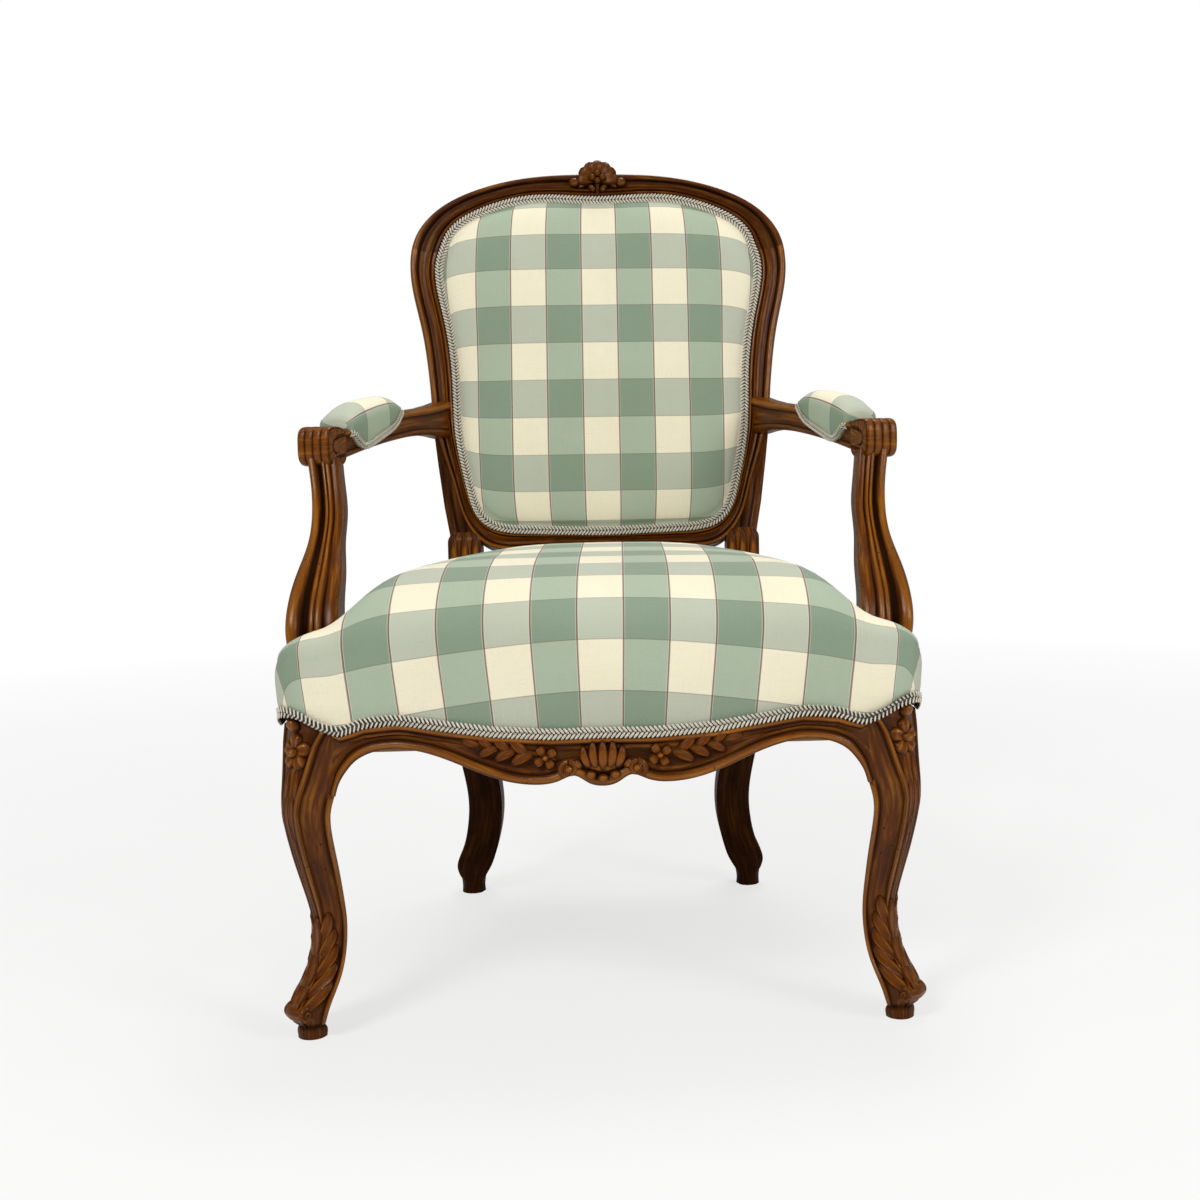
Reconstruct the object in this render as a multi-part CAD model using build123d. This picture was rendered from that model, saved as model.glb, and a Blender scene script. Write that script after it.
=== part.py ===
from build123d import *
import os
from math import cos, hypot, radians, sin, tan

# Open armchair: carved show-wood frame with an upholstered seat, back and arm pads.
# Millimetres, +Z up, front towards -Y, origin on the floor under the middle of the chair.

# Seat frame in plan, right half
FRONT_FACE_Y = -296.0
FRONT_SHOULDER_X = 140.0
FRONT_SHOULDER_Y = -286.0
FRONT_END_Y = -272.0
FRONT_JOINT_X = 262.0
SIDE_JOINT_Y = -214.0
KNEE_X = 320.0
SIDE_BOW = 12.0
POST_OUT_X = 203.0
POST_IN_X = 160.0
POST_FRONT_Y = 188.0
POST_BACK_Y = 231.0
RAIL_THICKNESS = 38.0
REAR_RAIL_THICKNESS = 34.0
REAR_RAIL_SETBACK = 2.0

# Seat frame heights
RAIL_TOP_Z = 345.0
REBATE_Z = 330.0
APRON_CENTRE_Z = 260.0
APRON_CUSP_Z = 270.0
APRON_LOBE_Z = 262.0
APRON_ARCH_Z = 298.0
APRON_END_Z = 266.0
APRON_CUSP_X = 28.0
APRON_LOBE_X = 65.0
APRON_ARCH_X = 202.0
SIDE_LOBE_Z = 272.0
SIDE_ARCH_Z = 298.0
REAR_RAIL_LOW_Z = 276.0
FRONT_BOSS_Z = 291.0
FRONT_BOSS_RADIUS = 34.0
FRONT_BOSS_RELIEF = 9.9

# Front leg: height, shift outwards in X and Y from the leg block, half width
FRONT_LEG_STATIONS = [
    (0.0, 9.0, 2.0, 14.5),
    (15.0, 9.0, 2.0, 14.0),
    (37.0, 7.0, 3.0, 20.3),
    (60.0, -3.0, -4.0, 19.2),
    (88.0, -10.0, -10.0, 18.0),
    (115.0, -11.5, -11.0, 17.9),
    (145.0, -8.0, -8.0, 19.6),
    (175.0, -3.0, -4.0, 21.8),
    (205.0, 1.9, 0.0, 23.0),
    (235.0, 3.8, 1.5, 25.0),
]

# Rear leg: height, shift outwards in X and Y from the post block, half width
REAR_LEG_STATIONS = [
    (0.0, 3.5, 17.0, 14.0),
    (15.0, 3.5, 16.5, 14.0),
    (38.0, 0.5, 13.5, 22.0),
    (66.0, -9.0, 5.0, 22.5),
    (95.0, -16.0, -1.0, 22.0),
    (125.0, -18.5, -3.0, 21.8),
    (155.0, -15.5, -2.2, 21.8),
    (185.0, -9.0, -1.3, 21.7),
    (215.0, -3.0, -0.4, 21.5),
]
LEG_RIDGE = 0.55
LEG_EDGE = 0.12
LEG_INSIDE = 0.8
BLOCK_LOW_Z = 262.0
POST_BLOCK_LOW_Z = 245.0
NOTCH_Z = 485.0

# Back frame: its front face leans back from the top of the lower rail's bottom edge
BACK_FOOT_Y = 186.1
BACK_FOOT_Z = 462.0
BACK_RAKE = 9.4
BACK_DEPTH = 38.0
MOULDING_DEPTH = 16.0
CREST_JOINT = 404.0
REBATE_WIDTH = 12.0
FRONT_REBATE = 6.0
REAR_REBATE = 4.0
GROOVE_DEPTH = 3.0
BOSS_DROP = 3.0
BOSS_RADIUS = 19.0
EAR_RADIUS = 10.0
EAR_X = 26.0

# Face outline of the back, right half, bottom to top: across, up the face, width of the moulded face
BACK_FACE = [
    (0.0, 3.0, 14.0),
    (95.0, 0.0, 20.0),
    (150.0, 5.0, 23.0),
    (177.0, 33.0, 17.0),
    (193.0, 80.0, 15.0),
    (216.0, 157.0, 24.0),
    (225.0, 225.0, 30.0),
    (236.0, 302.0, 31.0),
    (249.5, 380.0, 34.0),
    (243.0, 418.0, 37.0),
    (220.0, 450.0, 32.0),
    (163.0, 482.0, 27.0),
    (90.0, 499.0, 26.0),
    (0.0, 503.0, 32.0),
]
# Outline of the post behind the moulding where the two part, bottom to top
POST_OUTLINE = [
    (0.0, -1.0),
    (95.0, -4.0),
    (165.0, 3.0),
    (194.0, 20.0),
    (203.5, 60.0),
    (211.0, 112.0),
    (219.0, 158.0),
]
POST_STEP = 2.0

# Arms and their supports
ARM_REAR = (206.0, 234.0, 632.0)
ARM_WAIST = (252.0, 146.0, 625.0)
ARM_ELBOW = (290.0, 78.0, 612.0)
ARM_FRONT = (322.0, 4.0, 596.0)
ARM_SECTIONS = [
    (0.0, 15.0, 22.0),
    (0.2, 16.0, 20.0),
    (0.4, 17.0, 17.5),
    (0.6, 19.0, 16.5),
    (0.8, 20.0, 16.5),
    (1.0, 21.0, 17.0),
]
ARM_EDGE = 0.28
KNUCKLE_DEPTH = 40.0
KNUCKLE_HEIGHT = 46.0
KNUCKLE_WIDTH = 42.0
KNUCKLE_ROUND = 13.0
KNUCKLE_RISE = 4.0
# Foot of the support: height, X, Y, half width, half depth
SUPPORT_STATIONS = [
    (300.0, 301.0, -104.0, 11.0, 15.0),
    (330.0, 305.0, -106.0, 17.0, 21.0),
    (362.0, 310.0, -107.0, 25.0, 25.0),
    (395.0, 313.0, -106.0, 28.5, 27.0),
    (424.0, 313.5, -95.0, 27.5, 26.0),
]
# Support above its foot: share of the way to the arm, X and Y off the straight line, half width, half depth
SUPPORT_SWEEP = [
    (0.18, -3.5, 3.2, 25.0, 23.5),
    (0.372, -8.5, 13.2, 20.5, 21.0),
    (0.558, -10.2, 17.8, 19.7, 19.5),
    (0.744, -7.8, 15.3, 19.2, 18.5),
    (0.93, -3.4, 7.9, 19.0, 17.5),
]

# Joinery
FIT = 0.2
TENON_THICKNESS = 10.0
TENON_LENGTH = 28.0
REAR_TENON_LENGTH = 14.0
TENON_LOW_Z = 304.0
TENON_TOP_Z = 338.0
DOWEL_RADIUS = 5.0
SMALL_DOWEL_RADIUS = 4.0
DOWEL_LENGTH = 44.0
DOWEL_FIT = 0.1
ARM_JOINT = 0.12
SUPPORT_JOINT_INSET = 3.0
CREST_DOWEL_DEPTH = 0.55
RAIL_DOWEL_DEPTH = 0.6
RAIL_DOWEL_RISE = 14.0
BLOCK_Z = (292.0, 328.0)
FRONT_BLOCK_REACH = (77.0, 86.0)
FRONT_BLOCK_INSET = (22.0, 10.0)
REAR_BLOCK_REACH = (65.0, 78.0)
REAR_BLOCK_INSET = (8.0, 15.0)
FRONT_SCREW_PLACE = 0.44
REAR_SCREW_PLACE = 0.53
SCREW_SINK = 1.2
SCREW_DROP = 8.0
SCREW_RADIUS = 2.5
SCREW_LENGTH = 62.0
SUPPORT_SCREW_LENGTH = 50.0
SCREW_HEAD_RADIUS = 4.6
SCREW_HEAD_DEPTH = 3.0
SUPPORT_SCREW_Z = (310.0, 324.0)

# Upholstery
SOFT_GAP = 0.3
COVER = 2.5
SEAT_CENTRE_Y = -34.0
SEAT_CORE = 0.982
HESSIAN_SIZE = 0.967
WEB_SIZE = 0.952
SEAT_SKIRT_SIZE = 0.994
SEAT_FOOT_SIZE = 1.004
SEAT_BULGE_Z = 371.0
SEAT_BULGE_SIZE = 1.014
SEAT_EDGE_Z = 396.0
SEAT_EDGE_SIZE = 1.006
SEAT_TOP_Z = 473.0
SEAT_TOP_SIZE = 0.12
SEAT_DOME_STEPS = (12.0, 24.0, 36.0, 48.0, 60.0, 70.0, 80.0, 90.0)
SEAT_SQUARENESS = 0.6
STUFFING_FOOT_SIZE = 0.96
STUFFING_EDGE_Z = 402.0
STUFFING_EDGE_SIZE = 0.93
STUFFING_TOP_Z = 442.0
STUFFING_TOP_SIZE = 0.55
STRAP_WIDTH = 48.0
STRAP_THICKNESS = 2.0
STRAP_RISE = 12.0
STRAP_EASE = 4.0
STRAPS_ACROSS = 5
STRAPS_ALONG = 5
STRAP_PITCH_X = 80.0
STRAP_PITCH_Y = 84.0
STRAP_MIDDLE_Y = -24.0
NOTCH_GAP = 0.5
NOTCH_DROP = 5.0
SUPPORT_CLEAR = 20.0
HESSIAN_THICKNESS = 1.2
TACK_RADIUS = 1.0
TACK_HEAD_RADIUS = 3.5
TACK_HEAD = 1.0
TACK_LENGTH = 12.0
TACK_INSET = 9.0
TACK_SIDE_INSET = 3.0
TACK_FRONT_INSET = 2.0
TACK_STEP = 12.0
GIMP_WIDTH = 13.0
GIMP_THICKNESS = 2.5
BACK_PAD_FOOT = -3.0
BACK_PAD_RISE = 24.0
BACK_PAD_TOP_SIZE = 0.15
BACK_DOME_STEPS = (0.0, 14.0, 28.0, 42.0, 56.0, 68.0, 80.0, 90.0)
FLANGE = 0.94
FLANGE_LAP = 0.004
FLANGE_THICKNESS = 2.0
BACK_STRAP = 1.4
BACK_WEB_SIZE = 0.987
BACK_STRAP_PITCH_X = 85.0
BACK_STRAP_PITCH_Y = 105.0
BACK_STRAPS_UP = 3
BACK_STRAPS_ACROSS = 4
# Arm pad: place along the arm, half width, lowest and highest point from the arm's middle
PAD_SECTIONS = [
    (0.43, 18.5, 5.0, 24.0),
    (0.52, 21.0, -6.0, 36.0),
    (0.63, 22.5, -11.0, 41.0),
    (0.76, 23.0, -11.0, 40.0),
    (0.87, 22.5, 2.0, 30.0),
]
PAD_COVER = 2.0
PAD_COVER_REACH = 0.012
PAD_CUT_REACH = 0.03
PAD_ROUND = (0.55, 0.3)
PAD_FOOT_ROUND = 2.0
PAD_SIDE_BOW = 0.05
PAD_TOP_BOW = 1.5
PAD_GIMP = 11.0
TRIM_SCRAP = 200.0


def mean(a, b):
    return (a + b) / 2


def block(x0, x1, y0, y1, z0, z1):
    return Pos(mean(x0, x1), mean(y0, y1), mean(z0, z1)) * Box(x1 - x0, y1 - y0, z1 - z0)


def biggest(shape):
    return max(shape.solids(), key=lambda s: s.volume)


def flip(shape):
    return mirror(shape, about=Plane.YZ)


def rounded_loop(corners):
    """Closed wire; each corner is x, y, radius and how far the side after it bows outwards."""
    count = len(corners)
    turn = sum(
        corners[i - 1][0] * corners[i][1] - corners[i][0] * corners[i - 1][1] for i in range(count)
    )
    starts, mids, ends = [], [], []
    for i, (x, y, radius, _) in enumerate(corners):
        px, py = corners[i - 1][:2]
        nx, ny = corners[(i + 1) % count][:2]
        back = Vector(px - x, py - y).normalized()
        ahead = Vector(nx - x, ny - y).normalized()
        half = radians(back.get_angle(ahead)) / 2
        middle = (back + ahead).normalized()
        corner = Vector(x, y)
        starts.append(corner + back * (radius / tan(half)))
        ends.append(corner + ahead * (radius / tan(half)))
        mids.append(corner + middle * (radius / sin(half) - radius))
    edges = []
    for i in range(count):
        edges.append(ThreePointArc(starts[i], mids[i], ends[i]))
        a, b, bow = ends[i], starts[(i + 1) % count], corners[i][3]
        if bow:
            side = (b - a).normalized()
            out = Vector(side.Y, -side.X) * (bow if turn > 0 else -bow)
            edges.append(ThreePointArc(a, (a + b) / 2 + out, b))
        else:
            edges.append(Line(a, b))
    return Wire(edges)


def raised(wire, z):
    return Pos(0, 0, z) * wire


def cut_loop(corners):
    """Closed wire of straight sides; each corner is x, y and how much is cut off it."""
    points = []
    for i, (x, y, cut) in enumerate(corners):
        corner = Vector(x, y)
        back = (Vector(*corners[i - 1][:2]) - corner).normalized()
        ahead = (Vector(*corners[(i + 1) % len(corners)][:2]) - corner).normalized()
        points += [corner + back * cut, corner + ahead * cut] if cut else [corner]
    return Wire.make_polygon(points, close=True)


def leg_loop(cx, cy, hx, hy, facing, inside=LEG_EDGE):
    """Square leg section with its outer corner cut to a ridge and its inner corner by a share of its own."""
    half = min(hx, hy)
    shares = {(1, facing): LEG_RIDGE, (-1, -facing): inside}
    corners = [
        (cx + side * hx, cy + end * hy, half * shares.get((side, end), LEG_EDGE))
        for side, end in ((-1, -1), (1, -1), (1, 1), (-1, 1))
    ]
    return cut_loop(corners)


def leg_solid(stations, low_z, top_z, x0, x1, y0, y1, facing, inside=LEG_EDGE):
    """Curved leg lofted up into a straight block between x0..x1 and y0..y1."""
    cx, cy, hx, hy = mean(x0, x1), mean(y0, y1), (x1 - x0) / 2, (y1 - y0) / 2
    wires = [
        raised(leg_loop(cx + out_x, cy + facing * out_y, half, half, facing, inside), z)
        for z, out_x, out_y, half in stations
    ]
    top = leg_loop(cx, cy, hx, hy, facing)
    return Solid.make_loft([*wires, raised(top, low_z)]) + prism(top, low_z, top_z)


def front_curve(shift):
    """Front rail face in plan from left to right, shifted back by shift."""
    points = [
        (-FRONT_JOINT_X, FRONT_END_Y),
        (-FRONT_SHOULDER_X, FRONT_SHOULDER_Y),
        (0, FRONT_FACE_Y),
        (FRONT_SHOULDER_X, FRONT_SHOULDER_Y),
        (FRONT_JOINT_X, FRONT_END_Y),
    ]
    return Spline([(x, y + shift) for x, y in points])


def side_curve(shift):
    """Right side rail face in plan from front to back, shifted inwards by shift."""
    middle = (mean(KNEE_X, POST_OUT_X) + SIDE_BOW - shift, mean(SIDE_JOINT_Y, POST_FRONT_Y))
    return ThreePointArc((KNEE_X - shift, SIDE_JOINT_Y), middle, (POST_OUT_X - shift, POST_FRONT_Y))


def seat_outline(size):
    """Closed seat plan, scaled about its middle."""

    def at(x, y):
        return (x * size, SEAT_CENTRE_Y + (y - SEAT_CENTRE_Y) * size)

    ridge = LEG_RIDGE * (KNEE_X - FRONT_JOINT_X) / 2
    front = Spline(
        at(-FRONT_JOINT_X, FRONT_END_Y),
        at(-FRONT_SHOULDER_X, FRONT_SHOULDER_Y),
        at(0, FRONT_FACE_Y),
        at(FRONT_SHOULDER_X, FRONT_SHOULDER_Y),
        at(FRONT_JOINT_X, FRONT_END_Y),
    )
    corner_mid = (KNEE_X - 0.5 * ridge, FRONT_END_Y + 0.5 * ridge)
    side_mid = (mean(KNEE_X, POST_OUT_X) + SIDE_BOW, mean(SIDE_JOINT_Y, POST_FRONT_Y))
    rear_y = POST_BACK_Y - REAR_RAIL_SETBACK
    rear_x = POST_OUT_X
    corners = [
        (at(FRONT_JOINT_X, FRONT_END_Y), at(*corner_mid), at(KNEE_X, SIDE_JOINT_Y)),
        (at(KNEE_X, SIDE_JOINT_Y), at(*side_mid), at(rear_x, POST_FRONT_Y)),
    ]
    right = [Spline(*points) for points in corners]
    right.append(Line(at(rear_x, POST_FRONT_Y), at(POST_IN_X, rear_y)))
    left = [Line(at(-POST_IN_X, rear_y), at(-rear_x, POST_FRONT_Y))]
    left += [Spline(*[(-x, y) for x, y in reversed(points)]) for points in reversed(corners)]
    return Wire([front, *right, Line(at(POST_IN_X, rear_y), at(-POST_IN_X, rear_y)), *left])


def prism(wire, z0, z1):
    return raised(extrude(Face(wire), amount=z1 - z0, dir=(0, 0, 1)), z0)


def both_sides(points):
    """Right half outline, bottom to top, completed with its mirror image."""
    return points + [(-x, *rest) for x, *rest in reversed(points[1:-1])]


def inset(points, share, extra=0.0):
    """Back outline moved inwards by a share of its face width and an extra step."""
    moved = []
    for i, (x, y, width) in enumerate(points):
        ax, ay = points[i - 1][:2]
        bx, by = points[(i + 1) % len(points)][:2]
        length = hypot(bx - ax, by - ay)
        step = width * share + extra
        moved.append((x - (by - ay) / length * step, y + (bx - ax) / length * step))
    return moved


def outline_face(points):
    return make_face(Spline(points, periodic=True))


def scaled_back(points, size):
    middle = mean(BACK_FACE[0][1], BACK_FACE[-1][1])
    return [(x * size, middle + (y - middle) * size) for x, y in points]


BACK = Plane(
    origin=(0, BACK_FOOT_Y, BACK_FOOT_Z),
    x_dir=(1, 0, 0),
    z_dir=(0, -cos(radians(BACK_RAKE)), sin(radians(BACK_RAKE))),
)


def on_back(face, low, high):
    """Solid of an outline on the back's plane, from low to high in front of its face."""
    solid = extrude(face, amount=high - low, dir=(0, 0, 1))
    return BACK.location * (Pos(0, 0, low) * solid)


def rod(start, direction, length, radius):
    return Plane(origin=start, z_dir=direction).location * Cylinder(
        radius, length, align=(Align.CENTER, Align.CENTER, Align.MIN)
    )


def screw(head, direction, length, clearance=0.0):
    """Screw with its head's outer face at head, pointing along direction."""
    shank = rod(head, direction, length, SCREW_RADIUS + clearance)
    return shank + rod(head, direction, SCREW_HEAD_DEPTH + clearance, SCREW_HEAD_RADIUS + clearance)


def dowel(middle, direction, radius, clearance=0.0):
    length = DOWEL_LENGTH + 2 * clearance
    start = Vector(*middle) - Vector(*direction).normalized() * (length / 2)
    return rod(start, direction, length, radius + clearance)


# Seat rails
REACH = 400.0
rear_face_y = POST_BACK_Y - REAR_RAIL_SETBACK
apron = [
    (-FRONT_JOINT_X, APRON_END_Z),
    (-APRON_ARCH_X, APRON_ARCH_Z),
    (-APRON_LOBE_X, APRON_LOBE_Z),
    (-APRON_CUSP_X, APRON_CUSP_Z),
    (0, APRON_CENTRE_Z),
    (APRON_CUSP_X, APRON_CUSP_Z),
    (APRON_LOBE_X, APRON_LOBE_Z),
    (APRON_ARCH_X, APRON_ARCH_Z),
    (FRONT_JOINT_X, APRON_END_Z),
]
apron_top = [(FRONT_JOINT_X, RAIL_TOP_Z), (-FRONT_JOINT_X, RAIL_TOP_Z)]
apron_face = make_face([Spline(apron), Polyline(apron[-1], *apron_top, apron[0])])
front_plan = make_face(
    [
        front_curve(0),
        Line((FRONT_JOINT_X, FRONT_END_Y), (FRONT_JOINT_X, FRONT_END_Y + RAIL_THICKNESS)),
        front_curve(RAIL_THICKNESS),
        Line((-FRONT_JOINT_X, FRONT_END_Y), (-FRONT_JOINT_X, FRONT_END_Y + RAIL_THICKNESS)),
    ]
)
front_rail = extrude(front_plan, amount=RAIL_TOP_Z, dir=(0, 0, 1)) & extrude(
    Plane.XZ.location * apron_face, amount=REACH, dir=(0, -1, 0)
)
boss_y = FRONT_FACE_Y - FRONT_BOSS_RELIEF + FRONT_BOSS_RADIUS
front_boss = Pos(0, boss_y, FRONT_BOSS_Z) * Sphere(FRONT_BOSS_RADIUS)
front_boss &= block(-REACH, REACH, -REACH, FRONT_FACE_Y + RAIL_THICKNESS / 2, 0, RAIL_TOP_Z)
front_rail += front_boss

side_middle_y = mean(SIDE_JOINT_Y, POST_FRONT_Y)
side_apron = [
    (SIDE_JOINT_Y, APRON_END_Z),
    (mean(SIDE_JOINT_Y, side_middle_y), SIDE_ARCH_Z),
    (side_middle_y, SIDE_LOBE_Z),
    (mean(side_middle_y, POST_FRONT_Y), SIDE_ARCH_Z),
    (POST_FRONT_Y, APRON_END_Z),
]
side_top = [(POST_FRONT_Y, RAIL_TOP_Z), (SIDE_JOINT_Y, RAIL_TOP_Z)]
side_face = make_face([Spline(side_apron), Polyline(side_apron[-1], *side_top, side_apron[0])])
side_plan = make_face(
    [
        side_curve(0),
        Line((POST_OUT_X, POST_FRONT_Y), (POST_OUT_X - RAIL_THICKNESS, POST_FRONT_Y)),
        side_curve(RAIL_THICKNESS),
        Line((KNEE_X, SIDE_JOINT_Y), (KNEE_X - RAIL_THICKNESS, SIDE_JOINT_Y)),
    ]
)
side_rail = extrude(side_plan, amount=RAIL_TOP_Z, dir=(0, 0, 1)) & extrude(
    Plane.YZ.location * side_face, amount=REACH, dir=(1, 0, 0)
)
rear_rail = block(
    -POST_IN_X, POST_IN_X, rear_face_y - REAR_RAIL_THICKNESS, rear_face_y, REAR_RAIL_LOW_Z, RAIL_TOP_Z
)

# Legs and posts
front_leg = leg_solid(
    FRONT_LEG_STATIONS,
    BLOCK_LOW_Z,
    RAIL_TOP_Z,
    FRONT_JOINT_X,
    KNEE_X,
    FRONT_END_Y,
    SIDE_JOINT_Y,
    -1,
    LEG_INSIDE,
)
rear_leg = leg_solid(
    REAR_LEG_STATIONS, POST_BLOCK_LOW_Z, NOTCH_Z, POST_IN_X, POST_OUT_X, POST_FRONT_Y, POST_BACK_Y, 1
)

# Upholstery rebate round the top of the seat frame
rebate = block(-REACH, REACH, -REACH, REACH, REBATE_Z, RAIL_TOP_Z + 1) - prism(
    seat_outline(SEAT_CORE), REBATE_Z, RAIL_TOP_Z + 1
)
front_rail -= rebate
side_rail -= rebate
rear_rail -= rebate
front_leg -= rebate

# Back frame, drawn as one ring of stepped layers and parted at its joints
face_points = both_sides(BACK_FACE)
face_outline = [(x, y) for x, y, _ in face_points]
rim = inset(face_points, 0, -POST_STEP)[: len(BACK_FACE)]
post_points = both_sides(POST_OUTLINE + [(x, y) for x, y in rim if y > POST_OUTLINE[-1][1] + POST_STEP])
inner_outline = inset(face_points, 1)
inner_face = outline_face(inner_outline)
opening = outline_face(inset(face_points, 1, REBATE_WIDTH))
whole_face = outline_face(face_outline)
post_face = outline_face(post_points)
ring_layers = [
    (post_face - inner_face, -BACK_DEPTH, -BACK_DEPTH + REAR_REBATE),
    (post_face - opening, -BACK_DEPTH + REAR_REBATE, -MOULDING_DEPTH),
    (whole_face - opening, -MOULDING_DEPTH, -FRONT_REBATE),
    (whole_face - inner_face, -FRONT_REBATE, -GROOVE_DEPTH),
    (whole_face - outline_face(inset(face_points, 0.35)), -GROOVE_DEPTH, 0),
    (outline_face(inset(face_points, 0.7)) - inner_face, -GROOVE_DEPTH, 0),
]


def cell(x0, x1, y0, y1):
    return Pos(mean(x0, x1), mean(y0, y1)) * Rectangle(x1 - x0, y1 - y0)


def ring_part(area):
    layers = [on_back(face & area, low, high) for face, low, high in ring_layers]
    return layers[0] + layers[1:]


stile_area = cell(POST_IN_X, REACH, -REACH, CREST_JOINT)
stile = ring_part(stile_area)
stile_blank = on_back(post_face & stile_area, -BACK_DEPTH, 0)
lower_back_rail = ring_part(cell(-POST_IN_X, POST_IN_X, -REACH, REACH / 2))
crest_rail = ring_part(cell(-REACH, REACH, CREST_JOINT, 2 * REACH))
boss_height = BACK_FACE[-1][1] - BOSS_DROP
boss = Pos(0, boss_height, -BOSS_RADIUS / 2) * Sphere(BOSS_RADIUS)
ear = Pos(EAR_X, boss_height - EAR_RADIUS / 2, -EAR_RADIUS / 2) * Sphere(EAR_RADIUS)
crest_rail += [BACK.location * ball for ball in (boss, ear, flip(ear))]
crest_rail -= on_back(inner_face, -FRONT_REBATE, REACH / 8)
rear_post = biggest(rear_leg + stile)

# Arms and supports
arm_path = Spline([ARM_REAR, ARM_WAIST, ARM_ELBOW, ARM_FRONT])


def arm_plane(place):
    """Upright plane across the arm: x outwards, y up."""
    ahead = arm_path.tangent_at(place)
    return Plane(
        origin=arm_path.position_at(place), x_dir=(-ahead.Y, ahead.X, 0), z_dir=(ahead.X, ahead.Y, 0)
    )


def arm_loop(half_width, low, high):
    edge = ARM_EDGE * half_width
    sides = ((-half_width, low), (half_width, low), (half_width, high), (-half_width, high))
    return cut_loop([(x, y, edge) for x, y in sides])


arm = Solid.make_loft(
    [arm_plane(place).location * arm_loop(half, -height, height) for place, half, height in ARM_SECTIONS]
)
knuckle_side = RectangleRounded(KNUCKLE_DEPTH, KNUCKLE_HEIGHT, KNUCKLE_ROUND)
knuckle = extrude(knuckle_side, amount=KNUCKLE_WIDTH / 2, both=True)
arm += arm_plane(1.0).location * Pos(0, KNUCKLE_RISE, 0) * Rot(0, 90, 0) * knuckle
arm = biggest(arm - stile_blank)


def support_loop(cx, cy, hx, hy):
    edge = ARM_EDGE * min(hx, hy)
    sides = ((cx - hx, cy - hy), (cx + hx, cy - hy), (cx + hx, cy + hy), (cx - hx, cy + hy))
    return cut_loop([(x, y, edge) for x, y in sides])


def support_station(share, off_x, off_y, half_width, half_depth):
    """One station of the support on its way from the foot to the front of the arm."""
    foot_z, foot_x, foot_y = SUPPORT_STATIONS[-1][:3]
    point = Vector(foot_x, foot_y, foot_z) * (1 - share) + Vector(*ARM_FRONT) * share
    return point.Z, point.X + off_x, point.Y + off_y, half_width, half_depth


support_stations = SUPPORT_STATIONS + [support_station(*row) for row in SUPPORT_SWEEP]
arm_support = Solid.make_loft(
    [raised(support_loop(cx, cy, hx, hy), z) for z, cx, cy, hx, hy in support_stations]
)
arm_support = biggest(arm_support - [arm, side_rail])


# Mortises and tenons of the seat frame
def tenon(x0, x1, y0, y1):
    return block(x0, x1, y0, y1, TENON_LOW_Z, TENON_TOP_Z)


def mortise(x0, x1, y0, y1):
    return block(x0 - FIT, x1 + FIT, y0 - FIT, y1 + FIT, TENON_LOW_Z - FIT, TENON_TOP_Z + FIT)


def centred(middle, size):
    return middle - size / 2, middle + size / 2


front_tenon = (
    FRONT_JOINT_X,
    FRONT_JOINT_X + TENON_LENGTH,
    *centred(FRONT_END_Y + RAIL_THICKNESS / 2 - TENON_THICKNESS / 2, TENON_THICKNESS),
)
side_front_tenon = (
    *centred(KNEE_X - RAIL_THICKNESS / 2 + TENON_THICKNESS / 2, TENON_THICKNESS),
    SIDE_JOINT_Y - TENON_LENGTH,
    SIDE_JOINT_Y,
)
side_rear_tenon = (
    *centred(POST_OUT_X - RAIL_THICKNESS / 2 + TENON_THICKNESS / 2, TENON_THICKNESS),
    POST_FRONT_Y,
    POST_FRONT_Y + TENON_LENGTH,
)
rear_tenon = (
    POST_IN_X,
    POST_IN_X + REAR_TENON_LENGTH,
    *centred(rear_face_y - REAR_RAIL_THICKNESS / 2, TENON_THICKNESS),
)
front_rail += tenon(*front_tenon) + flip(tenon(*front_tenon))
side_rail += tenon(*side_front_tenon) + tenon(*side_rear_tenon)
rear_rail += tenon(*rear_tenon) + flip(tenon(*rear_tenon))
leg_cuts = [mortise(*front_tenon), mortise(*side_front_tenon)]
post_cuts = [mortise(*side_rear_tenon), mortise(*rear_tenon)]

# Dowels of the back frame and the arms
arm_joint = arm_path.position_at(ARM_JOINT)
arm_along = arm_path.tangent_at(ARM_JOINT)
support_joint = (
    ARM_FRONT[0] - SUPPORT_JOINT_INSET,
    ARM_FRONT[1],
    ARM_FRONT[2] + KNUCKLE_RISE - KNUCKLE_HEIGHT / 2,
)
arm_dowel_places = [
    (arm_joint, (arm_along.X, arm_along.Y, arm_along.Z)),
    (support_joint, (0, 0, 1)),
]


def on_back_point(x, y, off):
    return BACK.location * Pos(x, y, off)


below_joint = max((row for row in BACK_FACE if row[1] < CREST_JOINT), key=lambda row: row[1])
stile_x = below_joint[0] - below_joint[2] / 2
crest_dowel = (on_back_point(stile_x, CREST_JOINT, -BACK_DEPTH * CREST_DOWEL_DEPTH).position, BACK.y_dir)
rail_dowel_up = BACK_FACE[1][1] + RAIL_DOWEL_RISE
rail_dowel = (on_back_point(POST_IN_X, rail_dowel_up, -BACK_DEPTH * RAIL_DOWEL_DEPTH).position, (1, 0, 0))
back_dowel_places = [(crest_dowel, DOWEL_RADIUS), (rail_dowel, SMALL_DOWEL_RADIUS)]
arm_dowels = [dowel(middle, along, DOWEL_RADIUS) for middle, along in arm_dowel_places]
arm_holes = [dowel(middle, along, DOWEL_RADIUS, DOWEL_FIT) for middle, along in arm_dowel_places]
back_dowels = [dowel(middle, along, radius) for (middle, along), radius in back_dowel_places]
back_holes = [
    dowel(middle, along, radius, DOWEL_FIT) for (middle, along), radius in back_dowel_places
]
arm -= arm_holes
post_cuts += [arm_holes[0], *back_holes]
crest_rail -= [back_holes[0], flip(back_holes[0])]
lower_back_rail -= [back_holes[1], flip(back_holes[1])]


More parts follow.
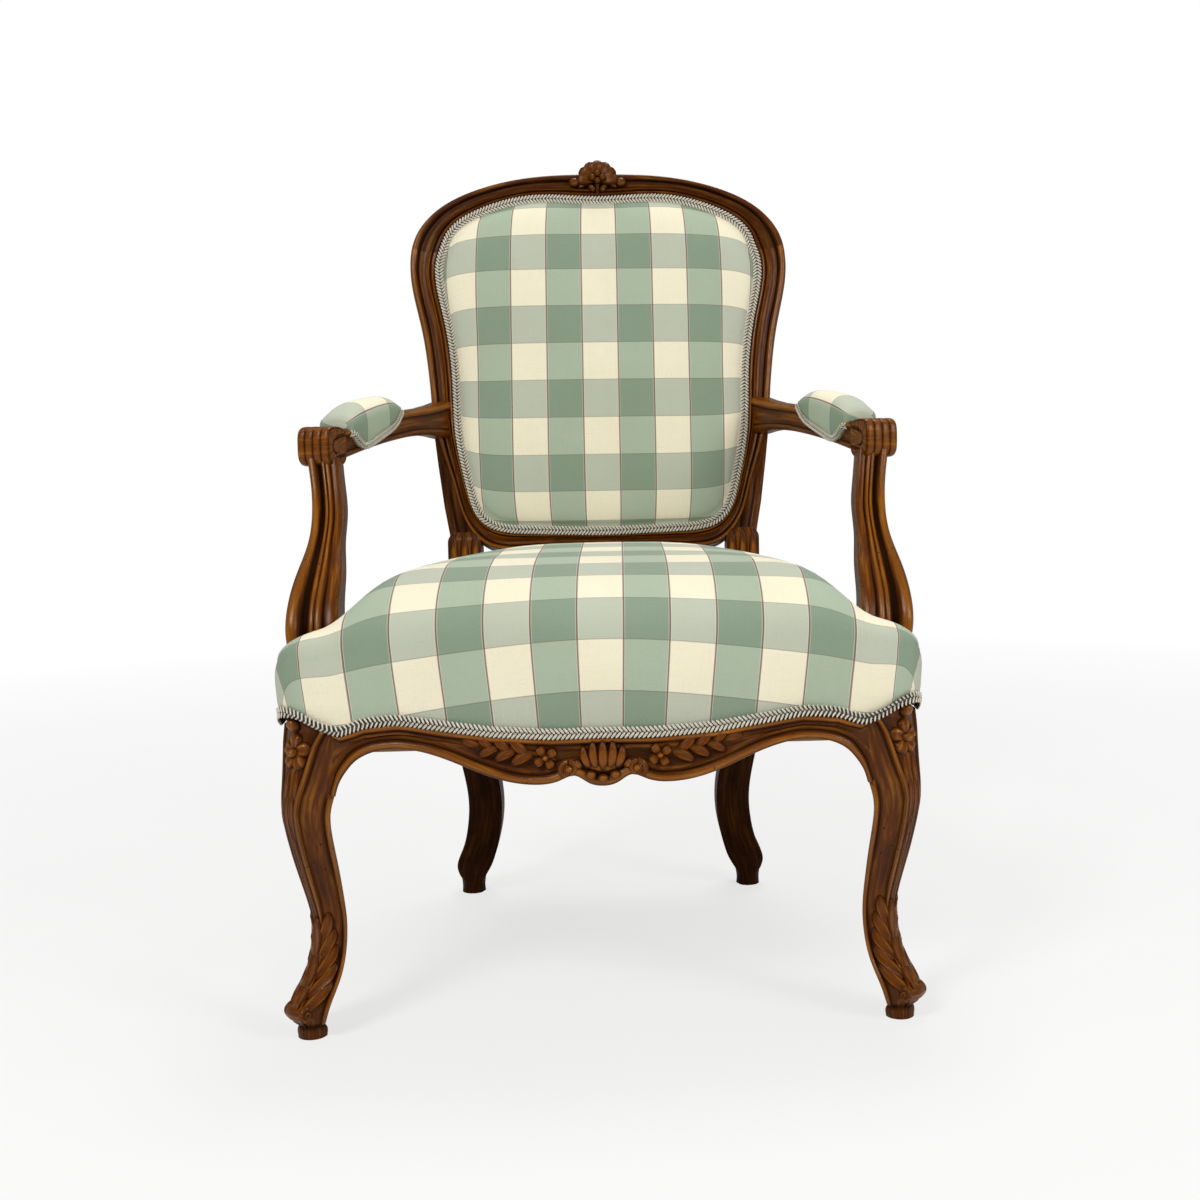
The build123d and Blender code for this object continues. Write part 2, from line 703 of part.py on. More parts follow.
# Corner blocks, cut to fit against the rails, legs and posts
def corner_block(points):
    return prism(Wire(Polyline(*points, close=True).edges()), *BLOCK_Z)


front_points = [
    (FRONT_JOINT_X - FRONT_BLOCK_REACH[0], FRONT_END_Y + FRONT_BLOCK_INSET[1]),
    (KNEE_X - FRONT_BLOCK_INSET[0], FRONT_END_Y + FRONT_BLOCK_INSET[1]),
    (KNEE_X - FRONT_BLOCK_INSET[0], SIDE_JOINT_Y + FRONT_BLOCK_REACH[1]),
]
rear_points = [
    (POST_IN_X - REAR_BLOCK_REACH[0], POST_BACK_Y - REAR_BLOCK_INSET[1]),
    (POST_OUT_X - REAR_BLOCK_INSET[0], POST_BACK_Y - REAR_BLOCK_INSET[1]),
    (POST_OUT_X, POST_FRONT_Y - REAR_BLOCK_REACH[1]),
]
front_block = biggest(corner_block(front_points) - [front_rail, front_leg, side_rail])
rear_block = biggest(corner_block(rear_points) - [rear_rail, rear_leg, side_rail])
screw_z = mean(*BLOCK_Z) - SCREW_DROP


def corner_screw_place(points, share):
    """Head and direction of the screw square through a corner block's long face."""
    first, corner, last = (Vector(*point) for point in points)
    along = (last - first).normalized()
    inward = Vector(along.Y, -along.X)
    if inward.dot(corner - first) < 0:
        inward = -inward
    head = first + (last - first) * share + inward * SCREW_SINK
    return (head.X, head.Y, screw_z), (inward.X, inward.Y, 0)


corner_screw_places = [
    corner_screw_place(front_points, FRONT_SCREW_PLACE),
    corner_screw_place(rear_points, REAR_SCREW_PLACE),
]
support_y = SUPPORT_STATIONS[0][2]
rail_share = (support_y - SIDE_JOINT_Y) / (POST_FRONT_Y - SIDE_JOINT_Y)
rail_inside = side_curve(RAIL_THICKNESS).position_at(rail_share)
support_screw_x = rail_inside.X + SCREW_HEAD_DEPTH
support_screw_places = [((support_screw_x, rail_inside.Y, z), (1, 0, 0)) for z in SUPPORT_SCREW_Z]
corner_screws = [screw(head, along, SCREW_LENGTH) for head, along in corner_screw_places]
support_screws = [screw(head, along, SUPPORT_SCREW_LENGTH) for head, along in support_screw_places]
corner_holes = [
    screw(head, along, SCREW_LENGTH + DOWEL_FIT, DOWEL_FIT) for head, along in corner_screw_places
]
support_holes = [
    screw(head, along, SUPPORT_SCREW_LENGTH + DOWEL_FIT, DOWEL_FIT) for head, along in support_screw_places
]
front_block -= corner_holes[0]
rear_block -= corner_holes[1]
front_leg -= [*leg_cuts, corner_holes[0]]
rear_post -= [*post_cuts, corner_holes[1]]
arm_support -= [arm_holes[1], *support_holes]

# Seat webbing, woven over and under, and its tacks
strap_low = RAIL_TOP_Z
strap_high = strap_low + STRAP_THICKNESS + FIT


def woven_strap(low_first, crossings, start, end):
    """Side view of one strap: high or low by turns at each crossing."""
    half = STRAP_WIDTH / 2 + STRAP_EASE
    levels = [low_first if i % 2 == 0 else not low_first for i in range(len(crossings))]
    under = [(start, strap_low), (crossings[0] - half - STRAP_RISE, strap_low)]
    for place, low in zip(crossings, levels):
        height = strap_low if low else strap_high
        under += [(place - half, height), (place + half, height)]
    under += [(crossings[-1] + half + STRAP_RISE, strap_low), (end, strap_low)]
    over = [(x, z + STRAP_THICKNESS) for x, z in reversed(under)]
    return make_face(Polyline(*under, *over, close=True))


def places(count, pitch, middle):
    return [middle + (i - (count - 1) / 2) * pitch for i in range(count)]


across = places(STRAPS_ACROSS, STRAP_PITCH_Y, STRAP_MIDDLE_Y)
along = places(STRAPS_ALONG, STRAP_PITCH_X, 0)
post_notch = block(POST_IN_X - NOTCH_GAP, REACH, POST_FRONT_Y - NOTCH_GAP, REACH, 0, REACH * 2)
support_front_y = min(cy - hy for _, _, cy, _, hy in support_stations)
support_rear_y = max(cy + hy for z, _, cy, _, hy in support_stations if z < SEAT_TOP_Z - SUPPORT_CLEAR)
support_in_x = min(cx - hx for z, cx, _, hx, _ in support_stations if z > REBATE_Z)
support_notch = block(
    support_in_x - NOTCH_GAP,
    REACH,
    support_front_y - NOTCH_GAP,
    support_rear_y + NOTCH_GAP,
    REBATE_Z - GIMP_WIDTH - NOTCH_DROP,
    REACH * 2,
)
notches = post_notch + flip(post_notch) + support_notch + flip(support_notch)
web_area = prism(seat_outline(WEB_SIZE), 0, REACH * 2) - notches
tacks, tack_holes = [], []


def add_tacks(spots):
    for x, y in spots:
        foot = (x, y, strap_low + STRAP_THICKNESS)
        head = rod(foot, (0, 0, 1), TACK_HEAD, TACK_HEAD_RADIUS)
        tacks.append(head + rod(foot, (0, 0, -1), TACK_LENGTH, TACK_RADIUS))
        tack_holes.append(rod(foot, (0, 0, -1), TACK_LENGTH + DOWEL_FIT, TACK_RADIUS + DOWEL_FIT))


straps = []
for i, y in enumerate(across):
    profile = Plane.XZ.location * woven_strap(i % 2 == 0, along, -REACH, REACH)
    strap = extrude(profile, amount=STRAP_WIDTH, dir=(0, -1, 0))
    strap = biggest((Pos(0, y + STRAP_WIDTH / 2, 0) * strap) & web_area)
    end = strap.bounding_box().max.X - TACK_INSET - TACK_SIDE_INSET
    add_tacks([(side * end, y + step) for side in (-1, 1) for step in (-TACK_STEP, TACK_STEP)])
    straps.append(strap)
for i, x in enumerate(along):
    profile = Plane.YZ.location * woven_strap(i % 2 == 1, across, -REACH, REACH)
    strap = extrude(profile, amount=STRAP_WIDTH, dir=(1, 0, 0))
    strap = biggest((Pos(x - STRAP_WIDTH / 2, 0, 0) * strap) & web_area)
    box = strap.bounding_box()
    front_end = box.min.Y + TACK_INSET + TACK_FRONT_INSET
    rear_end = box.max.Y - TACK_INSET
    add_tacks([(x + step, front_end) for step in (-TACK_STEP, TACK_STEP)])
    if abs(x) + STRAP_WIDTH / 2 < POST_IN_X:
        add_tacks([(x + step, rear_end) for step in (-TACK_STEP, TACK_STEP)])
    straps.append(strap)
holes = Compound(tack_holes)
straps = [biggest(strap - holes) for strap in straps]
front_rail -= holes
side_rail = biggest(side_rail - [holes, *support_holes, *corner_holes])
rear_rail -= holes

# Seat upholstery: hessian on the webbing, stuffing with its crown, then the cover over both
hessian_z = strap_high + STRAP_THICKNESS + SOFT_GAP
hessian_top = hessian_z + HESSIAN_THICKNESS
seat_hessian = biggest(prism(seat_outline(HESSIAN_SIZE), hessian_z, hessian_top) - notches)
cushion_z = hessian_top + SOFT_GAP
seat_crown = [
    (cushion_z, SEAT_FOOT_SIZE),
    (SEAT_BULGE_Z, SEAT_BULGE_SIZE),
    (SEAT_EDGE_Z, SEAT_EDGE_SIZE),
]


def dome_size(step, edge, top):
    """Plan size on a dome from its edge to its top, by the angle up it."""
    return top + (edge - top) * max(cos(radians(step)), 0) ** SEAT_SQUARENESS


for step in SEAT_DOME_STEPS:
    size = dome_size(step, SEAT_EDGE_SIZE, SEAT_TOP_SIZE)
    seat_crown.append((SEAT_EDGE_Z + (SEAT_TOP_Z - SEAT_EDGE_Z) * sin(radians(step)), size))
seat_dome = Solid.make_loft([raised(seat_outline(size), z) for z, size in seat_crown], ruled=True)
skirt_face = Face(seat_outline(SEAT_SKIRT_SIZE)) - Face(seat_outline(SEAT_CORE + SOFT_GAP / KNEE_X))
skirt_low = REBATE_Z + SOFT_GAP
seat_skirt = raised(extrude(skirt_face, amount=cushion_z - skirt_low, dir=(0, 0, 1)), skirt_low)


def seat_core(size, z):
    """Straight-sided plan of the firm stuffing, scaled about the seat's middle."""
    right = [
        (FRONT_JOINT_X, FRONT_END_Y),
        (KNEE_X, SIDE_JOINT_Y),
        (POST_OUT_X, POST_FRONT_Y),
        (POST_IN_X, POST_BACK_Y),
    ]
    points = right + [(-x, y) for x, y in reversed(right)]
    corners = [(x * size, SEAT_CENTRE_Y + (y - SEAT_CENTRE_Y) * size, z) for x, y in points]
    return Wire.make_polygon(corners, close=True)


def stuffing_form(gap):
    share = gap / KNEE_X
    levels = [
        (cushion_z, STUFFING_FOOT_SIZE),
        (STUFFING_EDGE_Z, STUFFING_EDGE_SIZE),
        (STUFFING_TOP_Z, STUFFING_TOP_SIZE),
    ]
    wires = [seat_core(size - share, z - gap * (z > cushion_z)) for z, size in levels]
    return Solid.make_loft(wires, ruled=True)


seat_cover = biggest(seat_dome + seat_skirt - [stuffing_form(0), notches])
seat_stuffing = biggest(stuffing_form(SOFT_GAP) - notches)
gimp_size = 1 + SOFT_GAP / KNEE_X
seat_gimp = prism(seat_outline(gimp_size + GIMP_THICKNESS / KNEE_X), REBATE_Z - GIMP_WIDTH, REBATE_Z)
seat_gimp -= prism(seat_outline(gimp_size), REBATE_Z - GIMP_WIDTH, REBATE_Z)
seat_gimp = seat_gimp - notches - front_leg - flip(front_leg)

# Back upholstery, from the webbing forwards, and the outside back
back_crown = [(BACK_PAD_FOOT, FLANGE)]
for step in BACK_DOME_STEPS:
    size = dome_size(step, FLANGE, BACK_PAD_TOP_SIZE)
    back_crown.append((BACK_PAD_RISE * sin(radians(step)), size))


def back_form(drop):
    """Crowned back pad, made smaller by drop all round."""
    share = drop / POST_OUT_X
    wires = []
    for off, size in back_crown:
        loop = Wire(Spline(scaled_back(inner_outline, size - share), periodic=True))
        wires.append(BACK.location * (Pos(0, 0, off - drop * (off > BACK_PAD_FOOT)) * loop))
    return Solid.make_loft(wires, ruled=True)


def back_ring(outer, inner, low, high):
    hole = outline_face(scaled_back(inner_outline, inner))
    return on_back(outline_face(scaled_back(inner_outline, outer)) - hole, low, high)


flange_low = BACK_PAD_FOOT
flange_top = flange_low + FLANGE_THICKNESS
edge_size = 1 - SOFT_GAP / BACK_STRAP_PITCH_Y
back_inside = back_form(COVER)
back_cover = back_form(0) - back_inside
back_cover = biggest(back_cover + back_ring(edge_size, FLANGE - FLANGE_LAP, flange_low, flange_top))
back_stuffing = back_form(COVER + SOFT_GAP)
gimp_low = flange_top + SOFT_GAP
back_gimp = back_ring(edge_size, FLANGE + FLANGE_LAP, gimp_low, gimp_low + GIMP_THICKNESS)
outside_low = -BACK_DEPTH + REAR_REBATE - SOFT_GAP
outside_face = outline_face(scaled_back(inner_outline, edge_size))
outside_back_cover = on_back(outside_face, outside_low - FLANGE_THICKNESS, outside_low)
outside_gimp_top = outside_low - FLANGE_THICKNESS - SOFT_GAP
outside_back_gimp = back_ring(edge_size, FLANGE, outside_gimp_top - GIMP_THICKNESS, outside_gimp_top)
web_face = outline_face(scaled_back(inner_outline, BACK_WEB_SIZE))
strap_off = -FRONT_REBATE
back_straps = []
middle_up = mean(BACK_FACE[0][1], BACK_FACE[-1][1])
for x in places(BACK_STRAPS_UP, BACK_STRAP_PITCH_X, 0):
    strap = Pos(x, middle_up) * Rectangle(STRAP_WIDTH, 2 * REACH)
    back_straps.append(on_back(strap & web_face, strap_off, strap_off + BACK_STRAP))
for up in places(BACK_STRAPS_ACROSS, BACK_STRAP_PITCH_Y, middle_up):
    strap = Pos(0, up) * Rectangle(2 * REACH, STRAP_WIDTH)
    back_straps.append(on_back(strap & web_face, strap_off + BACK_STRAP, strap_off + 2 * BACK_STRAP))


# Arm pads, saddled over the arms
def pad_form(grow, longer, band=None):
    """Pad shape made larger by grow and longer at its ends; a band keeps only that much at its foot."""
    wires = []
    last = len(PAD_SECTIONS) - 1
    for i, (place, half, low, high) in enumerate(PAD_SECTIONS):
        place += longer * ((i == last) - (i == 0))
        half += grow
        low -= grow
        high = low + band if band else high + grow
        round_off = min(PAD_ROUND[0] * half, PAD_ROUND[1] * (high - low))
        loop = rounded_loop(
            [
                (-half, low, PAD_FOOT_ROUND, 0),
                (half, low, PAD_FOOT_ROUND, PAD_SIDE_BOW * half),
                (half, high, round_off, PAD_TOP_BOW),
                (-half, high, round_off, PAD_SIDE_BOW * half),
            ]
        )
        wires.append(arm_plane(place).location * loop)
    return Solid.make_loft(wires)


pad_body = pad_form(0, 0)
arm_pad_stuffing = biggest(pad_body - arm)
pad_outside = pad_form(PAD_COVER, PAD_COVER_REACH)
arm_pad_cover = biggest(pad_outside - [pad_body, arm])
pad_reach = pad_form(PAD_COVER + SOFT_GAP / 3, PAD_CUT_REACH)
arm_pad_gimp = pad_form(PAD_COVER + GIMP_THICKNESS, 0, PAD_GIMP) - [pad_reach, arm]
arm_pad_gimp = Compound([s for s in arm_pad_gimp.solids() if s.volume > TRIM_SCRAP])


def pair(shapes):
    """Right-hand pieces with their left-hand mirror images, as one group."""
    return Compound([s for shape in shapes for s in (*shape.solids(), *flip(shape).solids())])


NODES = {
    "front_leg_right": front_leg,
    "rear_post_right": rear_post,
    "side_seat_rail_right": side_rail,
    "arm_right": arm,
    "arm_support_right": arm_support,
    "front_corner_block_right": front_block,
    "rear_corner_block_right": rear_block,
    "arm_pad_stuffing_right": arm_pad_stuffing,
    "arm_pad_cover_right": arm_pad_cover,
    "arm_pad_gimp_right": arm_pad_gimp,
}
NODES |= {name.replace("right", "left"): flip(shape) for name, shape in NODES.items()}
NODES |= {
    "front_seat_rail": front_rail,
    "rear_seat_rail": rear_rail,
    "crest_rail": crest_rail,
    "lower_back_rail": lower_back_rail,
    "corner_block_screws": pair(corner_screws),
    "arm_support_screws": pair(support_screws),
    "arm_dowels": pair(arm_dowels),
    "back_frame_dowels": pair(back_dowels),
    "seat_webbing": Compound(straps),
    "webbing_tacks": Compound([biggest(t) for t in tacks]),
    "seat_hessian": seat_hessian,
    "seat_stuffing": seat_stuffing,
    "seat_cover": seat_cover,
    "seat_gimp": Compound(seat_gimp.solids()),
    "back_webbing": Compound([s for strap in back_straps for s in strap.solids()]),
    "back_stuffing": back_stuffing,
    "back_cover": back_cover,
    "back_gimp": back_gimp,
    "outside_back_cover": outside_back_cover,
    "outside_back_gimp": outside_back_gimp,
}

os.makedirs("parts", exist_ok=True)
for name, shape in NODES.items():
    export_step(shape, f"parts/{name}.step")
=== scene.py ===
from functools import partial
from math import cos, pi, radians, sin, sqrt

import bmesh
import bpy
import numpy as np
from bpy.props import FloatProperty, FloatVectorProperty, IntProperty, PointerProperty
from mathutils import Matrix, Vector


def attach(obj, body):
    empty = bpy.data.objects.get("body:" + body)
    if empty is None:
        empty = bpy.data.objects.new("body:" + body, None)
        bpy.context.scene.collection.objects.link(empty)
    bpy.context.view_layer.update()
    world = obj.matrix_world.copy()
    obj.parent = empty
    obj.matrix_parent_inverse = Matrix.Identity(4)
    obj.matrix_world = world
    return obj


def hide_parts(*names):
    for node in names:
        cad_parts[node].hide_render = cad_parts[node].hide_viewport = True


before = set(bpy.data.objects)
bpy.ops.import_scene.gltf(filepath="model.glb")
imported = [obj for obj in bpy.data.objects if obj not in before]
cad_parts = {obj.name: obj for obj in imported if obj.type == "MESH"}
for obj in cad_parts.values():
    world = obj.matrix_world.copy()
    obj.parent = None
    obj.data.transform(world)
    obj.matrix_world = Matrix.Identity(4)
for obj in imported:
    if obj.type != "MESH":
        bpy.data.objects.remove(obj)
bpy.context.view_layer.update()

bl_info = {
    "name": "Open armchair",
    "version": (1, 0, 0),
    "blender": (4, 5, 0),
    "location": "View3D > Sidebar > Armchair",
    "description": "Carved show-wood armchair with checked upholstery",
    "category": "Object",
}

MM = 0.001
# Points nearer than this are one, in metres
WELD = 2e-6
SIDES = ("right", "left")
UP = np.array([0.0, 0.0, 1.0])

# Sizes of the frame, in millimetres, as the solids have them
FRONT_PLAN = [(-262, -272), (-140, -286), (0, -296), (140, -286), (262, -272)]
CORNER_PLAN = [(262, -272), (312, -264), (320, -214)]
SIDE_PLAN = [(320, -214), (273.5, -13), (203, 188)]
SEAT_MIDDLE_Y = -34
REAR_Y = 229
POST_X = (160, 203)
POST_Y = (188, 231)
BACK_FOOT = (0, 186.1, 462)
BACK_RAKE = radians(9.4)
CREST_JOINT = 404
# Back's face: outer line across and up, width of the wood there
BACK_FACE = [
    (0, 3, 14), (95, 0, 20), (150, 5, 23), (177, 33, 17), (193, 80, 15), (216, 157, 24),
    (225, 225, 30), (236, 302, 31), (249.5, 380, 34), (243, 418, 37), (220, 450, 32),
    (163, 482, 27), (90, 499, 26), (0, 503, 32),
]
# Legs: height, how far the middle has moved out and back, half width
FRONT_LEG = [
    (0, 9, 2, 14.5), (8, 9, 2, 14.2), (20, 9.5, 3.5, 17.5), (37, 7, 3, 20.5), (60, -3, -4, 19.2),
    (88, -10, -10, 18), (115, -11.5, -11, 17.9), (145, -8, -8, 19.6), (175, -3, -4, 21.8),
    (205, 1.9, 0, 23), (235, 3.8, 1.5, 25), (262, 0, 0, 28.5), (300, 0, 0, 29), (345, 0, 0, 29),
]
REAR_LEG = [
    (0, 3.5, 17, 14), (15, 3.5, 16.5, 14), (38, 0.5, 13.5, 22), (66, -9, 5, 22.5), (95, -16, -1, 22),
    (125, -18.5, -3, 21.8), (155, -15.5, -2.2, 21.8), (185, -9, -1.3, 21.7), (215, -3, -0.4, 21.5),
    (250, 0, 0, 21.5), (300, 0, 0, 21.5), (400, 0, 0, 21.5), (485, 0, 0, 21.5),
]
ARM_PATH = [(206, 234, 632), (252, 146, 625), (290, 78, 612), (322, 4, 596)]
# Arm: place along it, half width, half height
ARM_SECTIONS = [
    (0, 15, 26), (0.06, 15, 23.5), (0.13, 15.2, 20), (0.22, 15.8, 17), (0.4, 16.8, 15.5),
    (0.6, 18.8, 15.5), (0.8, 20, 16), (1, 21, 17),
]
# Arm support: height, middle across and back, half width, half depth
SUPPORT = [
    (300, 301, -104, 11, 15), (330, 305, -106, 17, 21), (362, 310, -107, 25, 25),
    (395, 313, -106, 28.5, 27), (424, 313.5, -95, 27.5, 26), (455, 311.5, -74, 24.5, 23.5),
    (488, 310, -45, 18.5, 21), (520, 310, -22, 17.7, 19.5), (552, 314, -6, 17.2, 18.5),
    (584, 319, 5, 18, 17.5),
]
# Arm pad: place along the arm, half width, lower edge and top from the arm's middle
PAD_SECTIONS = [
    (0.455, 15, 17, 21), (0.468, 19.5, 13, 27), (0.52, 22.5, 2, 36.5), (0.61, 24, -7, 42),
    (0.72, 24.5, -13, 42.5), (0.82, 24.5, -11, 39), (0.875, 23.5, 4, 32), (0.89, 19, 10, 27),
]


def length_setting(name, description, default):
    return FloatProperty(name=name, description=description, default=default, unit="LENGTH")


def colour_setting(name, description, default):
    return FloatVectorProperty(
        name=name, description=description, subtype="COLOR", size=3, default=default
    )


class ChairSizes(bpy.types.PropertyGroup):
    """Sizes that may be changed without touching the frame."""

    column: length_setting("Column", "Width of a woven column", 0.0463)
    row: length_setting("Row", "Height of a woven row", 0.0493)
    seat_row: length_setting("Seat row", "Height of the cream row on the seat's front", 0.380)
    back_row: length_setting("Back row", "Middle cream row, up the back's face", 0.243)
    gimp_width: length_setting("Gimp", "Width of the braid", 0.0106)
    gimp_pitch: length_setting("Gimp pitch", "From loop to loop", 0.0044)
    gimp_cord: length_setting("Gimp cord", "Radius of the cord", 0.00085)
    crown: length_setting("Back crown", "Rise of the back pad", 0.022)
    petals: IntProperty(
        name="Petals", description="Petals of the crest flower", default=7, min=5, max=9
    )


class ChairColours(bpy.types.PropertyGroup):
    """Finish colours, as seen."""

    wood: colour_setting("Walnut", "Polished wood", (0.40, 0.195, 0.008))
    # The glaze colour also paints the shade on the wood's back, under and inner faces
    dark: colour_setting("Glaze", "Dark in the grooves", (0.075, 0.028, 0.005))
    # The worn colour lightens rubbed edges, and is also a painted highlight on raised beads
    worn: colour_setting("Worn edge", "Rubbed edges", (0.66, 0.41, 0.09))
    cream: colour_setting("Cream", "Cream squares", (0.955, 0.925, 0.815))
    weft: colour_setting("Grey green", "Green rows on cream", (0.745, 0.765, 0.69))
    warp: colour_setting("Pale green", "Green columns on cream", (0.675, 0.73, 0.64))
    green: colour_setting("Green", "Green squares", (0.535, 0.605, 0.52))
    stripe: colour_setting("Red line", "Line between columns", (0.45, 0.20, 0.19))
    braid: colour_setting("Gimp", "Braid colour", (0.93, 0.90, 0.83))


def sizes():
    return bpy.context.scene.chair_sizes


def colours():
    return bpy.context.scene.chair_colours


def linear(colour):
    """Colour as seen to the light values that shaders use."""
    c = np.asarray(colour, float)
    return (*np.where(c <= 0.04045, c / 12.92, ((c + 0.055) / 1.055) ** 2.4), 1.0)


# Curves and mesh building


def spline(points, count, closed=False, lead=None):
    """Smooth curve through the points; the first lead columns set its pace."""
    p = np.asarray(points, float)
    if closed:
        p = np.vstack([p, p[:1]])
    h = np.linalg.norm(np.diff(p[:, :lead], axis=0), axis=1)
    t = np.concatenate([[0.0], np.cumsum(h)])
    k = len(p)
    a, b = np.zeros((k, k)), np.zeros_like(p)
    for i in range(1, k - 1):
        a[i, i - 1 : i + 2] = h[i - 1], 2 * (h[i - 1] + h[i]), h[i]
        b[i] = 6 * ((p[i + 1] - p[i]) / h[i] - (p[i] - p[i - 1]) / h[i - 1])
    if closed:
        a[0, 0], a[0, -1] = 1, -1
        a[-1, 0] += 2 * (h[-1] + h[0])
        a[-1, 1] += h[0]
        a[-1, -2] += h[-1]
        b[-1] = 6 * ((p[1] - p[0]) / h[0] - (p[-1] - p[-2]) / h[-1])
    else:
        a[0, 0] = a[-1, -1] = 1
    m = np.linalg.solve(a, b)
    s = np.linspace(0, t[-1], count, endpoint=not closed)
    i = np.clip(np.searchsorted(t, s, side="right") - 1, 0, k - 2)
    d, x = h[i][:, None], (s - t[i])[:, None]
    y = d - x
    ends = (m[i] * y**3 + m[i + 1] * x**3) / (6 * d)
    return ends + (p[i] / d - m[i] * d / 6) * y + (p[i + 1] / d - m[i + 1] * d / 6) * x


def lengths(points):
    """Distance along a polyline at each point."""
    p = np.asarray(points, float)
    steps = np.linalg.norm(np.diff(p, axis=0), axis=1)
    return np.concatenate([[0.0], np.cumsum(steps)])


def even(points, count):
    """Polyline resampled at even steps."""
    p = np.asarray(points, float)
    s = lengths(p)
    t = np.linspace(0, s[-1], count)
    return np.column_stack([np.interp(t, s, p[:, i]) for i in range(p.shape[1])])


def unit(v):
    return v / np.maximum(np.linalg.norm(v, axis=-1, keepdims=True), 1e-12)


def stacked(x, y, z):
    """Points from coordinates that may have different shapes."""
    return np.stack(np.broadcast_arrays(x, y, z), axis=-1)


def soft_step(x, low, high):
    t = np.clip((x - low) / (high - low), 0, 1)
    return t * t * (3 - 2 * t)


class Shape:
    """Vertices, faces, darkness of groove glaze and painted shade, and UV of one piece, in millimetres.
    """

    def __init__(self):
        self.points, self.faces, self.glaze, self.uv = [], [], [], []
        self.count = 0

    def grid(self, rings, glaze=None, uv=None, wrap=False, loop=False, caps=False):
        """Quads between rings; wrap closes each ring, loop joins the last ring to the first."""
        rings = np.asarray(rings, float)
        n, m = rings.shape[:2]
        glaze = np.zeros((n, m)) if glaze is None else np.broadcast_to(glaze, (n, m))
        if uv is None:
            around = np.linalg.norm(np.diff(rings, axis=1, append=rings[:, :1]), axis=2).mean(0)
            across = np.concatenate([[0.0], np.cumsum(around)])[: m + 1]
            middle = rings.mean(1)
            along = lengths(np.vstack([middle, middle[:1]]) if loop else middle)
            uv = np.stack(np.meshgrid(along, across, indexing="ij"), axis=-1)
        base = self.count
        self.points.append(rings.reshape(-1, 3))
        self.glaze.append(glaze.reshape(-1))
        self.count += n * m
        rows = n if loop else n - 1
        for i in range(rows):
            i1 = (i + 1) % n
            u1 = i + 1 if loop and uv.shape[0] > n else i1
            for j in range(m if wrap else m - 1):
                j1 = (j + 1) % m
                w1 = j + 1 if uv.shape[1] > m else j1
                self.faces.append([base + a * m + b for a, b in ((i, j), (i1, j), (i1, j1), (i, j1))])
                self.uv += [uv[i, j], uv[u1, j], uv[u1, w1], uv[i, w1]]
        for i in (0, n - 1) if caps else ():
            self.close(base + i * m, uv[i, :m])
        return self

    def close(self, start, uv):
        """One face over the ring of points from start on."""
        self.faces.append([start + j for j in range(len(uv))])
        self.uv += list(uv)

    def blob(self, place, middle, turn, length, width, height, tip=0.3, crease=0.0, bend=0.0, lift=0.0):
        """Petal, leaf or berry; place carries across, up and out to the chair."""
        a, r = np.meshgrid(
            np.linspace(0.02, pi - 0.02, 11), np.linspace(0, 2 * pi, 15)[:-1], indexing="ij"
        )
        body = np.sin(a) * (1 - tip * np.cos(a))
        u, v, w = -np.cos(a) * length / 2, body * np.cos(r) * width / 2, body * np.sin(r) * height
        w = w - crease * height * body * np.exp(-((np.cos(r) / 0.28) ** 2)) * (np.sin(r) > 0)
        v = v + bend * (u / length) ** 2 * length
        # Painted shade and glaze: darker low down where the carving meets its ground, and along its
        # crease
        dark = np.clip(0.95 - w / height * 1.25, 0, 1)
        dark = dark + 0.5 * crease * np.exp(-((np.cos(r) / 0.2) ** 2))
        w = np.where(w < 0, w * 0.3, w) + lift
        x = middle[0] + u * cos(turn) - v * sin(turn)
        y = middle[1] + u * sin(turn) + v * cos(turn)
        return self.grid(place(x, y, w), np.clip(dark, 0, 1), wrap=True, caps=True)

    def tube(self, path, radius, glaze=0.3, sides=8):
        """Round rod along a path, with one radius or one for each point."""
        p = np.asarray(path, float)
        ahead = unit(np.gradient(p, axis=0))
        up = UP if abs(ahead[:, 2]).max() < 0.9 else np.array([1.0, 0.0, 0.0])
        side = unit(np.cross(ahead, up))
        top = np.cross(side, ahead)
        turn = np.linspace(0, 2 * pi, sides, endpoint=False)
        r = np.broadcast_to(radius, len(p))[:, None, None]
        ring = side[:, None] * np.cos(turn)[None, :, None] + top[:, None] * np.sin(turn)[None, :, None]
        return self.grid(p[:, None] + ring * r, glaze, wrap=True, caps=True)

    def build(self, name, material, slot, mirrored=False, sharp=48):
        points = np.vstack(self.points) * MM
        if mirrored:
            points = points * (-1, 1, 1)
        mesh = bpy.data.meshes.new(name)
        mesh.from_pydata(points.tolist(), [], self.faces)
        layer = mesh.uv_layers.new(name="UVMap")
        layer.data.foreach_set("uv", (np.asarray(self.uv, float) * MM).ravel())
        # Per-point darkness: groove glaze and painted shade
        point_values(mesh, "glaze", np.concatenate(self.glaze))
        return finish_piece(mesh, name, material, slot, sharp)


def point_values(mesh, name, values, kind="FLOAT"):
    made = mesh.attributes.new(name, kind, "POINT")
    made.data.foreach_set("value" if kind == "FLOAT" else "vector", np.ravel(values))


def finish_piece(mesh, name, material, slot, sharp=48):
    """Merges doubles, points faces outwards and rides the piece on the frame."""
    bm = bmesh.new()
    bm.from_mesh(mesh)
    bmesh.ops.remove_doubles(bm, verts=bm.verts, dist=WELD)
    bmesh.ops.dissolve_degenerate(bm, edges=bm.edges, dist=1e-7)
    bmesh.ops.recalc_face_normals(bm, faces=bm.faces)
    bm.to_mesh(mesh)
    bm.free()
    mesh.shade_smooth()
    mesh.set_sharp_from_angle(angle=radians(sharp))
    mesh.materials.clear()
    mesh.materials.append(material)
    piece = bpy.data.objects.new(name, mesh)
    bpy.context.scene.collection.objects.link(piece)
    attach(piece, "root")
    return piece


# The chair's own lines


